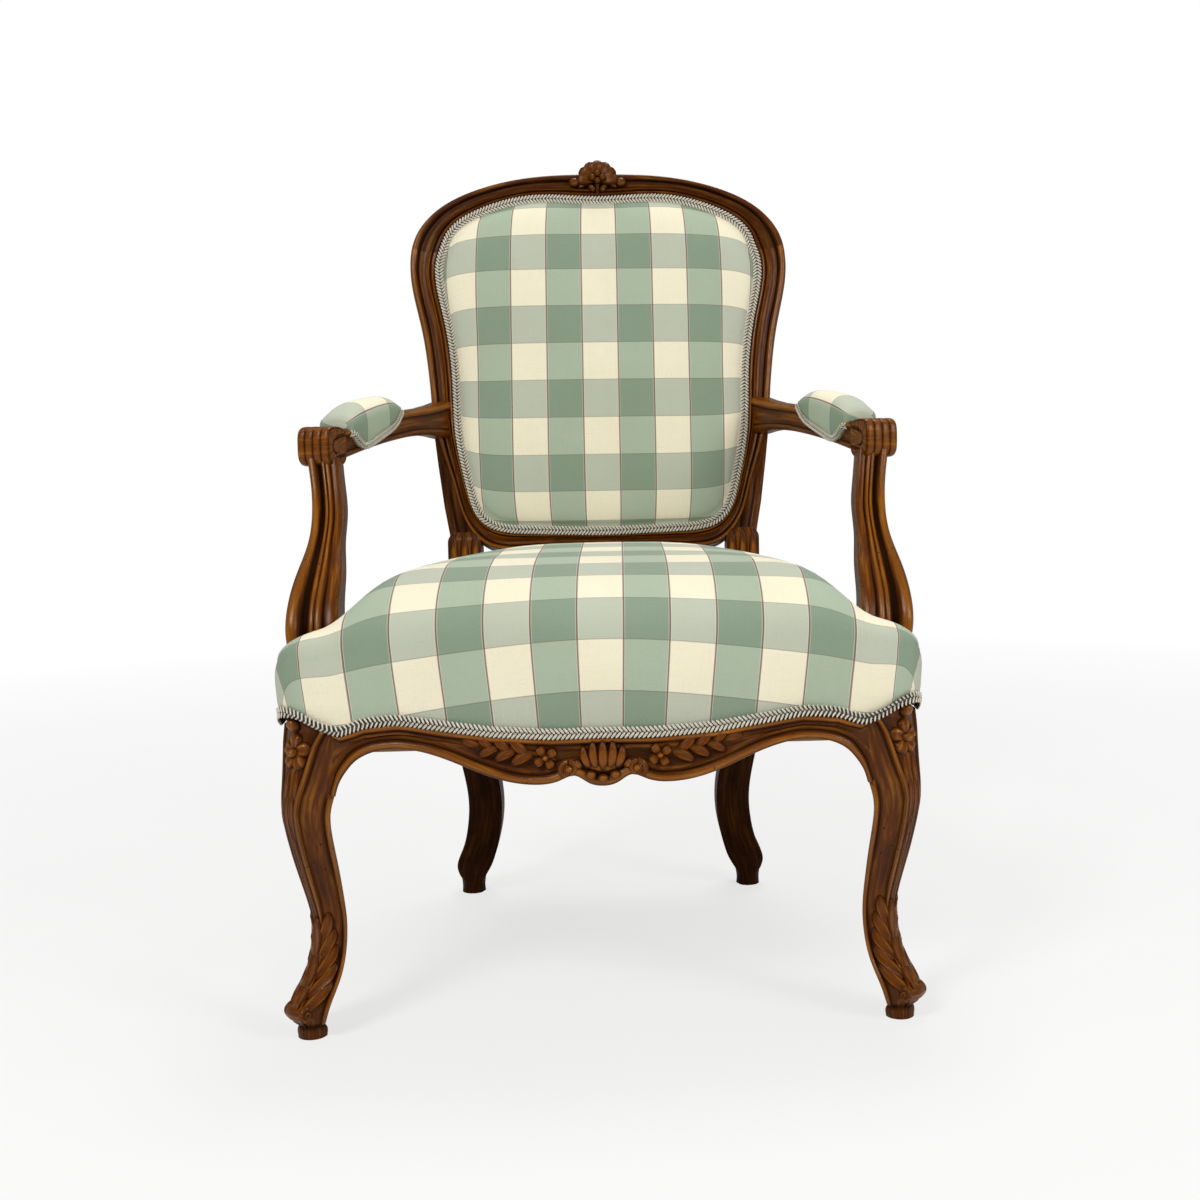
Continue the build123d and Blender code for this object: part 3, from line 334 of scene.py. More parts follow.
def plan_half():
    """Seat outline in plan from the front centre round the right side to the rear centre."""
    front = spline(FRONT_PLAN, 121)[60:]
    corner = spline(CORNER_PLAN, 30)
    side = spline(SIDE_PLAN, 80)
    rear = np.array([(POST_X[0], REAR_Y), (0, REAR_Y)])
    return np.vstack([front, corner[1:], side[1:], rear])


PLAN_STEPS = 200
PLAN = even(plan_half(), PLAN_STEPS)
PLAN_LENGTH = lengths(PLAN)
RING = np.vstack([PLAN, (PLAN * (-1, 1))[-2:0:-1]])
# Lower edge of the seat braid, by the distance round from the front centre
CORNER_AT = lengths(plan_half())[60]
SIDE_AT = CORNER_AT + 90
SIDE_RUN = 420
BRAID_AT = [
    *(0, 50, 109, 156, 200, 235),
    *(CORNER_AT + d for d in (-3, 18, 36, 50, 68)),
    *(SIDE_AT + d for d in (0, 30, 75, 140, 210, 280, 345, 390, SIDE_RUN)),
    2000,
]
BRAID_Z = [
    308, 307, 310, 316, 322, 319, 309, 317, 328, 331, 325, 314, 319, 322, 315, 307, 315, 322, 319,
    312, 312,
]


def ring_normals(ring):
    ahead = unit(np.roll(ring, -1, axis=0) - np.roll(ring, 1, axis=0))
    return np.column_stack([ahead[:, 1], -ahead[:, 0]])


def line_normals(line):
    ahead = unit(np.gradient(line, axis=0))
    return np.column_stack([ahead[:, 1], -ahead[:, 0]])


def braid_height(at):
    return np.interp(at, BRAID_AT, BRAID_Z)


def ring_braid():
    half = braid_height(PLAN_LENGTH)
    line = np.concatenate([half, half[-2:0:-1]])
    for _ in range(2):
        line = (np.roll(line, 1) + 2 * line + np.roll(line, -1)) / 4
    return line


def scaled_plan(size):
    return np.column_stack([RING[:, 0] * size, SEAT_MIDDLE_Y + (RING[:, 1] - SEAT_MIDDLE_Y) * size])


TUCK_Z = (296, 350)
TUCK_DEPTH = 5.5
TUCK_BATCH = 4000


def tuck(points):
    """Draws wood in under the braid, so that the cloth covers its top."""
    flat = points.reshape(-1, 3).copy()
    near = np.flatnonzero((flat[:, 2] > TUCK_Z[0]) & (flat[:, 2] < TUCK_Z[1]))
    line, inward = ring_braid(), -ring_normals(RING)
    for start in range(0, len(near), TUCK_BATCH):
        some = near[start : start + TUCK_BATCH]
        at = ((flat[some, None, :2] - RING[None]) ** 2).sum(2).argmin(1)
        over = soft_step(flat[some, 2], line[at] + 1, line[at] + 5)
        flat[some, :2] += inward[at] * (over * TUCK_DEPTH)[:, None]
    return flat.reshape(points.shape)


def front_y(x):
    line = spline(FRONT_PLAN, 161)
    return np.interp(x, line[:, 0], line[:, 1])


def on_back(x, w, n):
    """Point of the back's plane: across, up the face, in front of it."""
    y = BACK_FOOT[1] + w * sin(BACK_RAKE) - n * cos(BACK_RAKE)
    z = BACK_FOOT[2] + w * cos(BACK_RAKE) + n * sin(BACK_RAKE)
    return stacked(x, y, z)


def both_sides(points):
    return list(points) + [(-p[0], *p[1:]) for p in reversed(points[1:-1])]


BACK_STEPS = 400


def back_ring():
    """Outer line of the back, anticlockwise from the foot, with its inward direction and width."""
    ring = spline(both_sides(BACK_FACE), BACK_STEPS, closed=True, lead=2)
    ahead = unit(np.roll(ring[:, :2], -1, axis=0) - np.roll(ring[:, :2], 1, axis=0))
    return ring[:, :2], np.column_stack([-ahead[:, 1], ahead[:, 0]]), ring[:, 2]


def back_inner(extra=0.0):
    line, inward, width = back_ring()
    return line + inward * (width + extra)[:, None]


ARM_STEPS = 400


def arm_frame(place):
    """Middle of the arm at places from 0 to 1 along it, and its level outward direction."""
    path = spline(ARM_PATH, ARM_STEPS + 1)
    at, steps = np.asarray(place, float) * ARM_STEPS, np.arange(ARM_STEPS + 1)
    ahead = np.gradient(path, axis=0)
    middle = np.stack([np.interp(at, steps, path[:, i]) for i in range(3)], -1)
    flat = unit(np.stack([np.interp(at, steps, ahead[:, i]) for i in (0, 1)], -1))
    out = np.stack([-flat[..., 1], flat[..., 0], np.zeros(at.shape)], -1)
    return middle, out


def stations(table, count):
    """Rows of a table smoothed at even heights."""
    table = np.asarray(table, float)
    line = spline(table, 600, lead=1)
    at = np.linspace(table[0, 0], table[-1, 0], count)
    return np.column_stack([at] + [look_up(line, at, i) for i in range(1, table.shape[1])])


def look_up(table, at, column=1):
    """A column of a table at places along its first column."""
    rows = np.asarray(table)
    return np.interp(at, rows[:, 0], rows[:, column])


# Finishes


def plug(tree, made, inputs):
    """Gives sockets of a node, by name or number, a link or a value."""
    for key, value in dict(inputs).items():
        if isinstance(value, bpy.types.NodeSocket):
            tree.links.new(value, made.inputs[key])
        else:
            made.inputs[key].default_value = value


def node(tree, kind, inputs=(), **settings):
    made = tree.nodes.new(kind)
    for key, value in settings.items():
        setattr(made, key, value)
    plug(tree, made, inputs)
    return made


def maths(tree, operation, a, b=None):
    inputs = {0: a} if b is None else {0: a, 1: b}
    return node(tree, "ShaderNodeMath", inputs, operation=operation).outputs[0]


def mix(tree, share, a, b, blend="MIX"):
    made = node(tree, "ShaderNodeMix", data_type="RGBA", blend_type=blend)
    plug(tree, made, {0: share, 6: a, 7: b})
    return made.outputs[2]


def ramp(tree, value, stops):
    """Colour ramp through (place, colour) stops."""
    made = node(tree, "ShaderNodeValToRGB", {0: value})
    while len(made.color_ramp.elements) < len(stops):
        made.color_ramp.elements.new(0.5)
    for element, (place, colour) in zip(made.color_ramp.elements, stops):
        element.position, element.color = place, colour
    return made.outputs[0]


def noise(tree, vector, scale, detail=4.0, rough=0.55):
    inputs = {"Scale": scale, "Detail": detail, "Roughness": rough, "Vector": vector}
    return node(tree, "ShaderNodeTexNoise", inputs).outputs[0]


def stretched(tree, vector, scale):
    return node(tree, "ShaderNodeMapping", {"Scale": scale, "Vector": vector}).outputs[0]


def bumped(tree, height, strength, distance):
    inputs = {"Strength": strength, "Distance": distance, "Height": height}
    return node(tree, "ShaderNodeBump", inputs).outputs["Normal"]


def new_material(name):
    """Empty material, its node tree and its shader."""
    material = bpy.data.materials.new(name)
    material.use_nodes = True
    return material, material.node_tree, material.node_tree.nodes["Principled BSDF"]


def shader_group(name, values, results):
    """Empty shader group: a vector and named values in, named values out."""
    tree = bpy.data.node_groups.new(name, "ShaderNodeTree")
    socket = tree.interface.new_socket
    socket(name="Vector", in_out="INPUT", socket_type="NodeSocketVector")
    for label, default in values.items():
        socket(name=label, in_out="INPUT", socket_type="NodeSocketFloat").default_value = default
    for label in results:
        socket(name=label, in_out="OUTPUT", socket_type="NodeSocketFloat")
    return tree, node(tree, "NodeGroupInput").outputs, node(tree, "NodeGroupOutput")


def grain_group():
    """Long wood figure: light and dark streaks, pores and worm holes."""
    if "wood_grain" in bpy.data.node_groups:
        return bpy.data.node_groups["wood_grain"]
    tree, into, out = shader_group("wood_grain", {}, ("Streak", "Pores", "Holes", "Mottle"))
    vector = into["Vector"]
    long, fine = (stretched(tree, vector, (1.0, s, s)) for s in (12.0, 26.0))
    cells = node(tree, "ShaderNodeTexVoronoi", {"Scale": 130.0, "Vector": vector})
    near = maths(tree, "LESS_THAN", cells.outputs["Distance"], 0.13)
    spread = maths(tree, "GREATER_THAN", noise(tree, vector, 9.0, 2.0), 0.5)
    figures = {
        "Streak": noise(tree, long, 14.0, 6.0, 0.62),
        "Pores": noise(tree, fine, 60.0, 3.0, 0.7),
        "Holes": maths(tree, "MULTIPLY", near, spread),
        "Mottle": noise(tree, vector, 22.0, 4.0, 0.6),
    }
    plug(tree, out, figures)
    return tree


HOLE_COLOUR = (0.008, 0.005, 0.003, 1.0)


def walnut(name="walnut_polished", by_uv=True):
    """Polished walnut: streaks along the piece, dark glaze in grooves with painted shade on back, under
    and inner faces, rubbed edges that are also a painted highlight.
    """
    if name in bpy.data.materials:
        return bpy.data.materials[name]
    material, tree, shader = new_material(name)
    calc = partial(maths, tree)
    vector = node(tree, "ShaderNodeTexCoord").outputs["UV" if by_uv else "Object"]
    grain = node(tree, "ShaderNodeGroup", {"Vector": vector}, node_tree=grain_group()).outputs
    # Groove glaze and painted shade, set per point of each piece
    glaze = node(tree, "ShaderNodeAttribute", attribute_name="glaze").outputs["Fac"]
    wood, dark, worn = (linear(c) for c in (colours().wood, colours().dark, colours().worn))
    deep = tuple(0.45 * a + 0.55 * b for a, b in zip(wood, dark))
    base = ramp(tree, grain["Streak"], [(0.32, deep), (0.5, wood), (0.72, worn)])
    base = mix(tree, calc("MULTIPLY", calc("SUBTRACT", 0.52, grain["Pores"]), 1.3), base, dark)
    patchy = calc("MULTIPLY", calc("SUBTRACT", grain["Mottle"], 0.45), 2.2)
    # Lighter rubbed wear on unshaded raised parts, also a painted highlight on the beads
    bare = calc("SUBTRACT", 0.28, calc("MULTIPLY", glaze, 2.4))
    rub_and_highlight = calc("MULTIPLY", calc("MAXIMUM", bare, 0.0), calc("ADD", patchy, 1.1))
    base = mix(tree, calc("MINIMUM", rub_and_highlight, 0.6), base, worn)
    # Painted shade and groove glaze, with random soiling, darken the base
    soil = calc("ADD", glaze, calc("MULTIPLY", patchy, 0.22))
    soil = calc("MINIMUM", calc("MAXIMUM", calc("MULTIPLY", soil, 0.92), 0.0), 0.93)
    base = mix(tree, soil, base, dark)
    base = mix(tree, calc("MULTIPLY", grain["Holes"], 0.85), base, HOLE_COLOUR)
    rough = calc("ADD", 0.14, calc("MULTIPLY", grain["Mottle"], 0.14))
    height = calc("SUBTRACT", grain["Pores"], calc("MULTIPLY", grain["Holes"], 1.5))
    clear_of_glaze_and_shade = calc("SUBTRACT", 1.0, calc("MULTIPLY", glaze, 0.9))
    finish = {
        "Base Color": base,
        "Roughness": calc("ADD", rough, calc("MULTIPLY", glaze, 0.25)),
        "Normal": bumped(tree, height, 0.35, 0.0006),
        "Specular IOR Level": calc("MULTIPLY", calc("MAXIMUM", clear_of_glaze_and_shade, 0.05), 0.24),
    }
    plug(tree, shader, finish)
    return material


def weave_group():
    """Plain weave: thread crowns over and under, and slubs along both ways."""
    if "plain_weave" in bpy.data.node_groups:
        return bpy.data.node_groups["plain_weave"]
    tree, into, out = shader_group("plain_weave", {"Threads": 1200.0}, ("Height", "Slub"))
    calc = partial(maths, tree)
    vector = into["Vector"]
    axes = node(tree, "ShaderNodeSeparateXYZ", {0: vector}).outputs
    turns = calc("MULTIPLY", into["Threads"], pi)
    across, along = (calc("SINE", calc("MULTIPLY", axes[i], turns)) for i in (0, 1))
    ways = ((30.0, 900.0, 1.0), (900.0, 30.0, 1.0))
    slubs = [calc("MULTIPLY", noise(tree, stretched(tree, vector, way), 1.0, 2.0), 0.5) for way in ways]
    plug(tree, out, {"Height": calc("MULTIPLY", across, along), "Slub": calc("ADD", *slubs)})
    return tree


# Lines of the cloth as shares of a square: half the red line, the pale one beside it, the line across
LINE_HALF, PALE_HALF, CROSS_HALF = 0.018, 0.034, 0.010
PALE_COLOUR, CROSS_COLOUR, SOIL_COLOUR = (0.93, 0.9, 0.84), (0.40, 0.33, 0.30), (0.72, 0.66, 0.52)
SLUB_COLOUR = (0.02, 0.02, 0.015, 1.0)
COTTON_THREADS = 1250.0


def check_group():
    """Masks of the checked cloth: green columns, green rows, lines between them."""
    if "check_cloth" in bpy.data.node_groups:
        return bpy.data.node_groups["check_cloth"]
    squares = {"Width": 0.0463, "Height": 0.0493}
    tree, into, out = shader_group("check_cloth", squares, ("Column", "Row", "Line", "Pale", "Cross"))
    calc = partial(maths, tree)
    axes = node(tree, "ShaderNodeSeparateXYZ", {0: into["Vector"]}).outputs
    edges = []
    for axis, label, size in ((0, "Column", "Width"), (1, "Row", "Height")):
        place = calc("ADD", calc("DIVIDE", axes[axis], into[size]), 0.5)
        half = calc("FRACT", calc("MULTIPLY", place, 0.5))
        plug(tree, out, {label: calc("GREATER_THAN", half, 0.5)})
        place = calc("FRACT", place)
        edges.append(calc("MINIMUM", place, calc("SUBTRACT", 1.0, place)))
    edge, cross = edges
    beside = calc("MULTIPLY", calc("GREATER_THAN", edge, LINE_HALF), calc("LESS_THAN", edge, PALE_HALF))
    line, across = calc("LESS_THAN", edge, LINE_HALF), calc("LESS_THAN", cross, CROSS_HALF)
    plug(tree, out, {"Line": line, "Pale": beside, "Cross": across})
    return tree


def check_cloth():
    """Cream and green checked cotton with fine red lines."""
    if "check_cotton" in bpy.data.materials:
        return bpy.data.materials["check_cotton"]
    material, tree, shader = new_material("check_cotton")
    calc = partial(maths, tree)
    vector = node(tree, "ShaderNodeTexCoord").outputs["UV"]
    squares = {"Vector": vector, "Width": sizes().column, "Height": sizes().row}
    check = node(tree, "ShaderNodeGroup", squares, node_tree=check_group()).outputs
    threads = {"Vector": vector, "Threads": COTTON_THREADS}
    weave = node(tree, "ShaderNodeGroup", threads, node_tree=weave_group()).outputs
    c = colours()
    on_cream = mix(tree, check["Row"], linear(c.cream), linear(c.weft))
    on_green = mix(tree, check["Row"], linear(c.warp), linear(c.green))
    base = mix(tree, check["Column"], on_cream, on_green)
    stripes = (("Pale", 0.35, PALE_COLOUR), ("Line", 0.72, c.stripe), ("Cross", 0.45, CROSS_COLOUR))
    for line, share, colour in stripes:
        base = mix(tree, calc("MULTIPLY", check[line], share), base, linear(colour))
    slub = calc("MULTIPLY", calc("SUBTRACT", weave["Slub"], 0.5), 1.1)
    base = mix(tree, calc("ABSOLUTE", slub), base, mix(tree, 0.5, base, SLUB_COLOUR, "MULTIPLY"))
    soil = calc("MULTIPLY", calc("SUBTRACT", noise(tree, vector, 7.0, 4.0), 0.42), 0.25)
    base = mix(tree, soil, base, linear(SOIL_COLOUR), "MULTIPLY")
    finish = {
        "Base Color": base,
        "Roughness": calc("ADD", 0.78, calc("MULTIPLY", weave["Slub"], 0.15)),
        "Normal": bumped(tree, calc("ADD", weave["Height"], weave["Slub"]), 0.25, 0.0004),
        "Sheen Weight": 0.15,
        "Sheen Roughness": 0.5,
        "Specular IOR Level": 0.25,
    }
    plug(tree, shader, finish)
    return material


def plain_finish(name, colour, second, scale, stretch, rough, metal=0.0, threads=0.0):
    """Fibre, wood or metal finish with a two-tone figure and a matching bump."""
    if name in bpy.data.materials:
        return bpy.data.materials[name]
    material, tree, shader = new_material(name)
    calc = partial(maths, tree)
    vector = node(tree, "ShaderNodeTexCoord").outputs["Object"]
    figure = noise(tree, stretched(tree, vector, stretch), scale, 5.0, 0.6)
    base = ramp(tree, figure, [(0.35, linear(second)), (0.65, linear(colour))])
    height = figure
    if threads:
        inputs = {"Vector": vector, "Threads": threads}
        weave = node(tree, "ShaderNodeGroup", inputs, node_tree=weave_group()).outputs["Height"]
        # Painted shade of the woven threads: the colour darkens with the weave's relief
        shade = calc("MULTIPLY", calc("ADD", weave, 1.0), 0.22)
        base = mix(tree, shade, base, linear(tuple(0.45 * x for x in second)))
        height = calc("ADD", figure, weave)
    finish = {
        "Base Color": base,
        "Roughness": calc("ADD", rough - 0.1, calc("MULTIPLY", figure, 0.2)),
        "Metallic": metal,
        "Normal": bumped(tree, height, 0.4, 0.0005),
    }
    plug(tree, shader, finish)
    return material


def braid_cotton():
    """Pale cord over a darker ground of painted shade between the loops."""
    name, colour = "braid_cotton", colours().braid
    made = name in bpy.data.materials
    material = plain_finish(name, colour, tuple(0.78 * c for c in colour), 900.0, (1, 1, 1), 0.85)
    if not made:
        tree = material.node_tree
        shader = tree.nodes["Principled BSDF"]
        pale = shader.inputs["Base Color"].links[0].from_socket
        # Painted shade: the band under the loops is darkened to about a quarter of the cord's colour
        ground = node(tree, "ShaderNodeAttribute", attribute_name="glaze").outputs["Fac"]
        dark = linear(tuple(0.26 * c for c in colour))
        plug(tree, shader, {"Base Color": mix(tree, ground, pale, dark)})
    return material


def wood_piece(shape, name, stands_for, side=""):
    """Polished walnut in place of a solid, mirrored for the left."""
    tail = "_" + side if side else ""
    piece = shape.build(name + tail, walnut(), "walnut", side == "left")
    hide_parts(stands_for + tail)


# Back frame

# Moulding of the back across its face: share of the width, extra step, height, darkness of groove glaze
# and painted shade on the side and rear faces
BACK_PROFILE = [
    (0, -1.0, -37.5, 0.5), (0, -1.5, -36, 0.4), (0, -1.5, -18, 0.45), (0, -0.3, -14.5, 0.7),
    (0, 0, -9, 0.45), (0, 0.3, -5, 0.3), (0.03, 0.3, -2, 0.15), (0.08, 0, 0, 0.0),
    (0.15, 0, 0.6, 0.0), (0.22, 0, -0.2, 0.1), (0.27, 0, -2.6, 0.7), (0.295, 0, -4.6, 1.0),
    (0.32, 0, -4.9, 1.0), (0.35, 0, -4.0, 0.7), (0.40, 0, -3.6, 0.3), (0.46, 0, -4.4, 0.35),
    (0.54, 0, -4.6, 0.4), (0.62, 0, -3.6, 0.3), (0.69, 0, -1.8, 0.12), (0.735, 0, -0.4, 0.0),
    (0.77, 0, -1.2, 0.5), (0.79, 0, -2.8, 1.0), (0.815, 0, -2.4, 0.8), (0.84, 0, -0.4, 0.2),
    (0.885, 0, 0.6, 0.0), (0.93, 0, 0.2, 0.1), (0.97, 0, -1.6, 0.5), (0.99, 0, -4.0, 0.9),
    (1, 0.4, -6.5, 1.0), (1, 12, -6.5, 1.0), (1, 12, -34, 0.8), (1, 0, -34, 0.8),
    (1, 0, -37.5, 0.5), (0.95, 0, -38, 0.35), (0.05, 0, -38, 0.35),
]


def back_sections():
    """Rings of the moulded back, one for each step round it."""
    line, inward, width = back_ring()
    profile = np.array(BACK_PROFILE)
    step = width[:, None] * profile[:, 0] + profile[:, 1]
    flat = line[:, None] + inward[:, None] * step[..., None]
    return on_back(flat[..., 0], flat[..., 1], profile[None, :, 2]), profile[:, 3]


def back_span(shape, chosen):
    """Adds the part of the moulded back whose steps are chosen, in order."""
    rings, dark = back_sections()
    return shape.grid(rings[chosen], dark, wrap=True, caps=True)


def flower(shape, place, x, y, size, petals, turn=0.0, lift=0.0, height=0.35):
    """Open flower: petals round a berry."""
    for i in range(petals):
        a = turn + 2 * pi * i / petals
        middle = (x + cos(a) * size * 0.55, y + sin(a) * size * 0.55)
        shape.blob(place, middle, a, size, size * 0.82, size * height, 0.35, 0.5, lift=lift)
    shape.blob(place, (x, y), 0, size * 0.6, size * 0.6, size * height * 1.5, 0, lift=lift)


class CHAIR_OT_back_frame(bpy.types.Operator):
    """Moulded crest, stiles and lower rail of the back, with the crest's flower"""

    bl_idname = "chair.back_frame"
    bl_label = "Back frame"

    def execute(self, context):
        line, _, _ = back_ring()
        steps = np.arange(BACK_STEPS)
        top = steps[line[:, 1] > CREST_JOINT]
        crest = back_span(Shape(), np.concatenate([[top[0] - 1], top, [top[-1] + 1]]))
        count = sizes().petals
        for i in range(count):
            a = pi * (0.03 + 0.94 * i / (count - 1))
            middle = (cos(a) * 14.5, 491 + sin(a) * 14.5)
            crest.blob(on_back, middle, a, 28, 15.5, 9, 0.5, 0.5, lift=1)
        for side in (-1, 1):
            crest.blob(on_back, (side * 31, 490), 0, 15, 13, 8, 0, lift=-1)
            crest.blob(on_back, (side * 20, 486), side * -0.5, 14, 6, 5, 0, 0.4)
            crest.blob(on_back, (side * 8, 482), pi / 2 - side * 0.7, 13, 8, 6, -0.2, 0.5)
        for x, w in ((0, 499), (-6.5, 494), (6.5, 494), (0, 490)):
            crest.blob(on_back, (x, w), 0, 9, 9, 11, 0, lift=4)
        stem = np.linspace(0, 1, 8)
        crest.tube(on_back(0 * stem, 488 - 16 * stem, 4 - 3 * stem), 2.8 - stem)
        # The whole crest, flower and all, is made darker
        crest.glaze = [np.clip(0.34 + 0.8 * tone, 0, 1) for tone in crest.glaze]
        wood_piece(crest, "crest_rail_carved", "crest_rail")
        low = steps[(np.abs(line[:, 0]) < POST_X[0]) & (line[:, 1] < 60)]
        low = np.concatenate([low[low > BACK_STEPS // 2], low[low < BACK_STEPS // 2]])
        wood_piece(back_span(Shape(), low), "lower_back_rail_moulded", "lower_back_rail")
        for side in SIDES:
            post = back_span(Shape(), np.arange(low[-1], top[0]))
            rear_post(post)
            wood_piece(post, "rear_post_moulded", "rear_post", side)
        return {"FINISHED"}


# Post behind the moulding: up the face, outer edge
POST_EDGE = [
    (-30, 203), (0, 203), (12, 202), (22, 201.5), (60, 208.5), (112, 215.5), (158, 221), (225, 226),
]
POST_BAND = 34
POST_FACE, POST_REAR = -15, -37.4
POST_FLUTES, FLUTE_DEPTH = 3, 1.6
# Section of the rear leg, in half widths
POST_LOOP = [
    (-1, -1), (-0.6, -1.0), (-0.2, -1.0), (0.3, -1.0), (0.85, -1.0), (0.96, -0.96), (1.0, -0.85),
    (1.0, -0.3), (0.99, 0.2), (0.97, 0.4), (0.8, 0.75), (0.4, 0.97), (0.2, 0.99), (-0.3, 1.0),
    (-0.85, 1.0), (-0.97, 0.95), (-1, 0.85), (-1, 0),
]
# Reeds on the post's block: places across, height of their middle, length, width, depth
REED_X, REED_Z, REED_SIZE = (167.5, 181.5, 195.5), 432, (104, 14.5, 4.5)


def rear_post(shape):
    """Curved rear leg, its straight block and the fluted post behind the moulding."""
    rows = stations(REAR_LEG, 180)
    height = rows[:, 0]
    loop = np.array(POST_LOOP)
    turn = np.arctan2(loop[:, 1], loop[:, 0])
    round_loop = np.column_stack([np.cos(turn), np.sin(turn)])
    pad = 1 - soft_step(height, 14, 26)
    section = loop[None] * (1 - pad)[:, None, None] + round_loop[None] * (pad * 1.12)[:, None, None]
    shoulder = 1 - 0.3 * soft_step(height, 470, 487) ** 2
    middle = np.column_stack([sum(POST_X) / 2 + rows[:, 1], sum(POST_Y) / 2 + rows[:, 2]])
    xy = section * (rows[:, 3] * shoulder)[:, None, None] + middle[:, None]
    z = np.broadcast_to(height[:, None], xy.shape[:2])
    # Painted shade: the rear leg darkens from 400 mm down to 300 mm, standing for the chair's shade
    # over it
    dark = 0.88 - 0.6 * soft_step(height, 300, 400)[:, None]
    shape.grid(np.dstack([xy, z]), dark, wrap=True, caps=True)
    w = np.linspace(-24, 222, 60)
    across = np.linspace(0, 1, 26)
    wave = np.abs(np.sin(across * pi * POST_FLUTES))
    fade = soft_step(w, -26, -20) * (1 - soft_step(w, 70, 120))
    depth = POST_FACE + (FLUTE_DEPTH * wave**0.6 - FLUTE_DEPTH)[None] * fade[:, None]
    x = look_up(POST_EDGE, w)[:, None] - POST_BAND + POST_BAND * across[None]
    front = on_back(x, w[:, None], depth)
    back = on_back(x[:, ::-1], w[:, None], POST_REAR)
    # Flute grooves are dark with glaze and painted shade; the post's back face gets painted shade
    groove = np.concatenate([1 - wave**0.5, np.full(len(across), 0.4)])
    dark = np.clip(0.25 + groove[None] * fade[:, None], 0, 1)
    shape.grid(np.concatenate([front, back], axis=1), dark, wrap=True, caps=True)

    def place(x, z, n):
        return stacked(x, POST_Y[0] - n, z)

    for x in REED_X:
        shape.blob(place, (x, REED_Z), pi / 2, *REED_SIZE, 0, lift=-0.8)


# Seat frame

# Beads of a rail: distance from its lower edge or below its top, step out, darkness of groove glaze and
# painted shade
RAIL_LOW = [
    (0, 0.5, 0.35), (1.2, 2.2, 0.1), (3.0, 3.2, 0.0), (5.0, 3.4, 0.0), (7.0, 2.6, 0.1), (8.6, 0.8, 0.5),
    (9.6, -1.0, 1.0), (11.0, -0.9, 0.7), (13.0, -1.2, 0.35),
]
RAIL_TOP = [
    (13.0, -0.8, 0.3), (10.6, -0.2, 0.6), (9.4, 0.3, 1.0), (8.4, 1.8, 0.3), (6.6, 3.0, 0.0),
    (4.4, 3.0, 0.0), (2.4, 1.8, 0.4), (0.0, 0.2, 0.9),
]
RAIL_BEAD = 13
RAIL_THICKNESS = 38


def rail(plan, low, top, ground=0.3):
    """Moulded rail: bead along its shaped lower edge, cove, and a bead under the braid."""
    outward = line_normals(plan)
    rise = np.maximum(top - low, 24)
    fit = np.minimum(rise / 28, 1)
    run = lengths(plan)
    slope = np.gradient(low, run)
    lean, up = -slope / np.hypot(1, slope), 1 / np.hypot(1, slope)
    fit = fit * (1 - 0.42 * soft_step(np.abs(slope), 0.6, 2.4))

    def row(shift, z, n):
        at = run + shift
        past = at - np.clip(at, run[0], run[-1])
        step = np.where((past > 0)[:, None], plan[-1] - plan[-2], plan[1] - plan[0])
        step = step / np.linalg.norm(step, axis=1, keepdims=True)
        flat = np.column_stack([np.interp(at, run, plan[:, i]) for i in (0, 1)])
        return np.column_stack([flat + step * past[:, None] + outward * n, z])

    points, dark = [], []
    for d, n, tone in RAIL_LOW:
        points.append(row(lean * d * fit, low + up * d * fit, n))
        dark.append(tone)
    start, end = low + up * RAIL_BEAD * fit, low + rise - RAIL_BEAD * fit
    for share in np.linspace(0, 1, 7)[1:-1]:
        shift, cove = lean * RAIL_BEAD * fit * (1 - share), -1.2 - 1.8 * sin(pi * share)
        points.append(row(shift, start + (end - start) * share, cove))
        dark.append(ground)
    for e, n, tone in RAIL_TOP:
        points.append(row(0 * low, low + rise - e * fit, n))
        dark.append(tone)
    clear = np.minimum(26 * soft_step(np.abs(slope), 0.4, 1.6), rise - 8)
    back = -RAIL_THICKNESS
    # The rail's hidden top, inner face and underside get painted shade
    inside = [
        (rise + 6, -6, 0.9), (rise + 6, 2 + back, 0.5), (rise, back, 0.4), (clear + 3, back, 0.6),
        (clear + 0.5, 2 + back, 0.7),
    ]
    for d, n, tone in inside:
        points.append(row(0 * low, low + d, n))
        dark.append(tone)
    rings = tuck(np.stack(points, axis=1))
    dark = np.stack([np.broadcast_to(tone, len(low)) for tone in dark], axis=1)
    return Shape().grid(rings, dark, wrap=True, caps=True)


# Lower edges of the rails: across the front's right half, and back along the side
APRON = [
    (0, 260), (14, 263), (28, 270.5), (42, 266), (65, 262), (100, 267), (155, 288), (200, 298),
    (228, 294), (243, 286), (253, 275), (260, 263.5), (264, 251),
]
SIDE_APRON = [(-214, 268), (-180, 288), (-113, 298), (-13, 272), (87, 298), (155, 288), (188, 268)]
# Petals of the front rail's tulip: place across, lean, length, width, bend, lift
TULIP = [
    (17.5, 0.32, 24, 9.5, 0.3, 1.0), (-17.5, -0.32, 24, 9.5, -0.3, 1.0), (9.2, 0.14, 29, 10, 0.2, 3.0),
    (-9.2, -0.14, 29, 10, -0.2, 3.0), (0, 0, 30, 10, 0, 5.2),
]
BRAID_LAP = 3


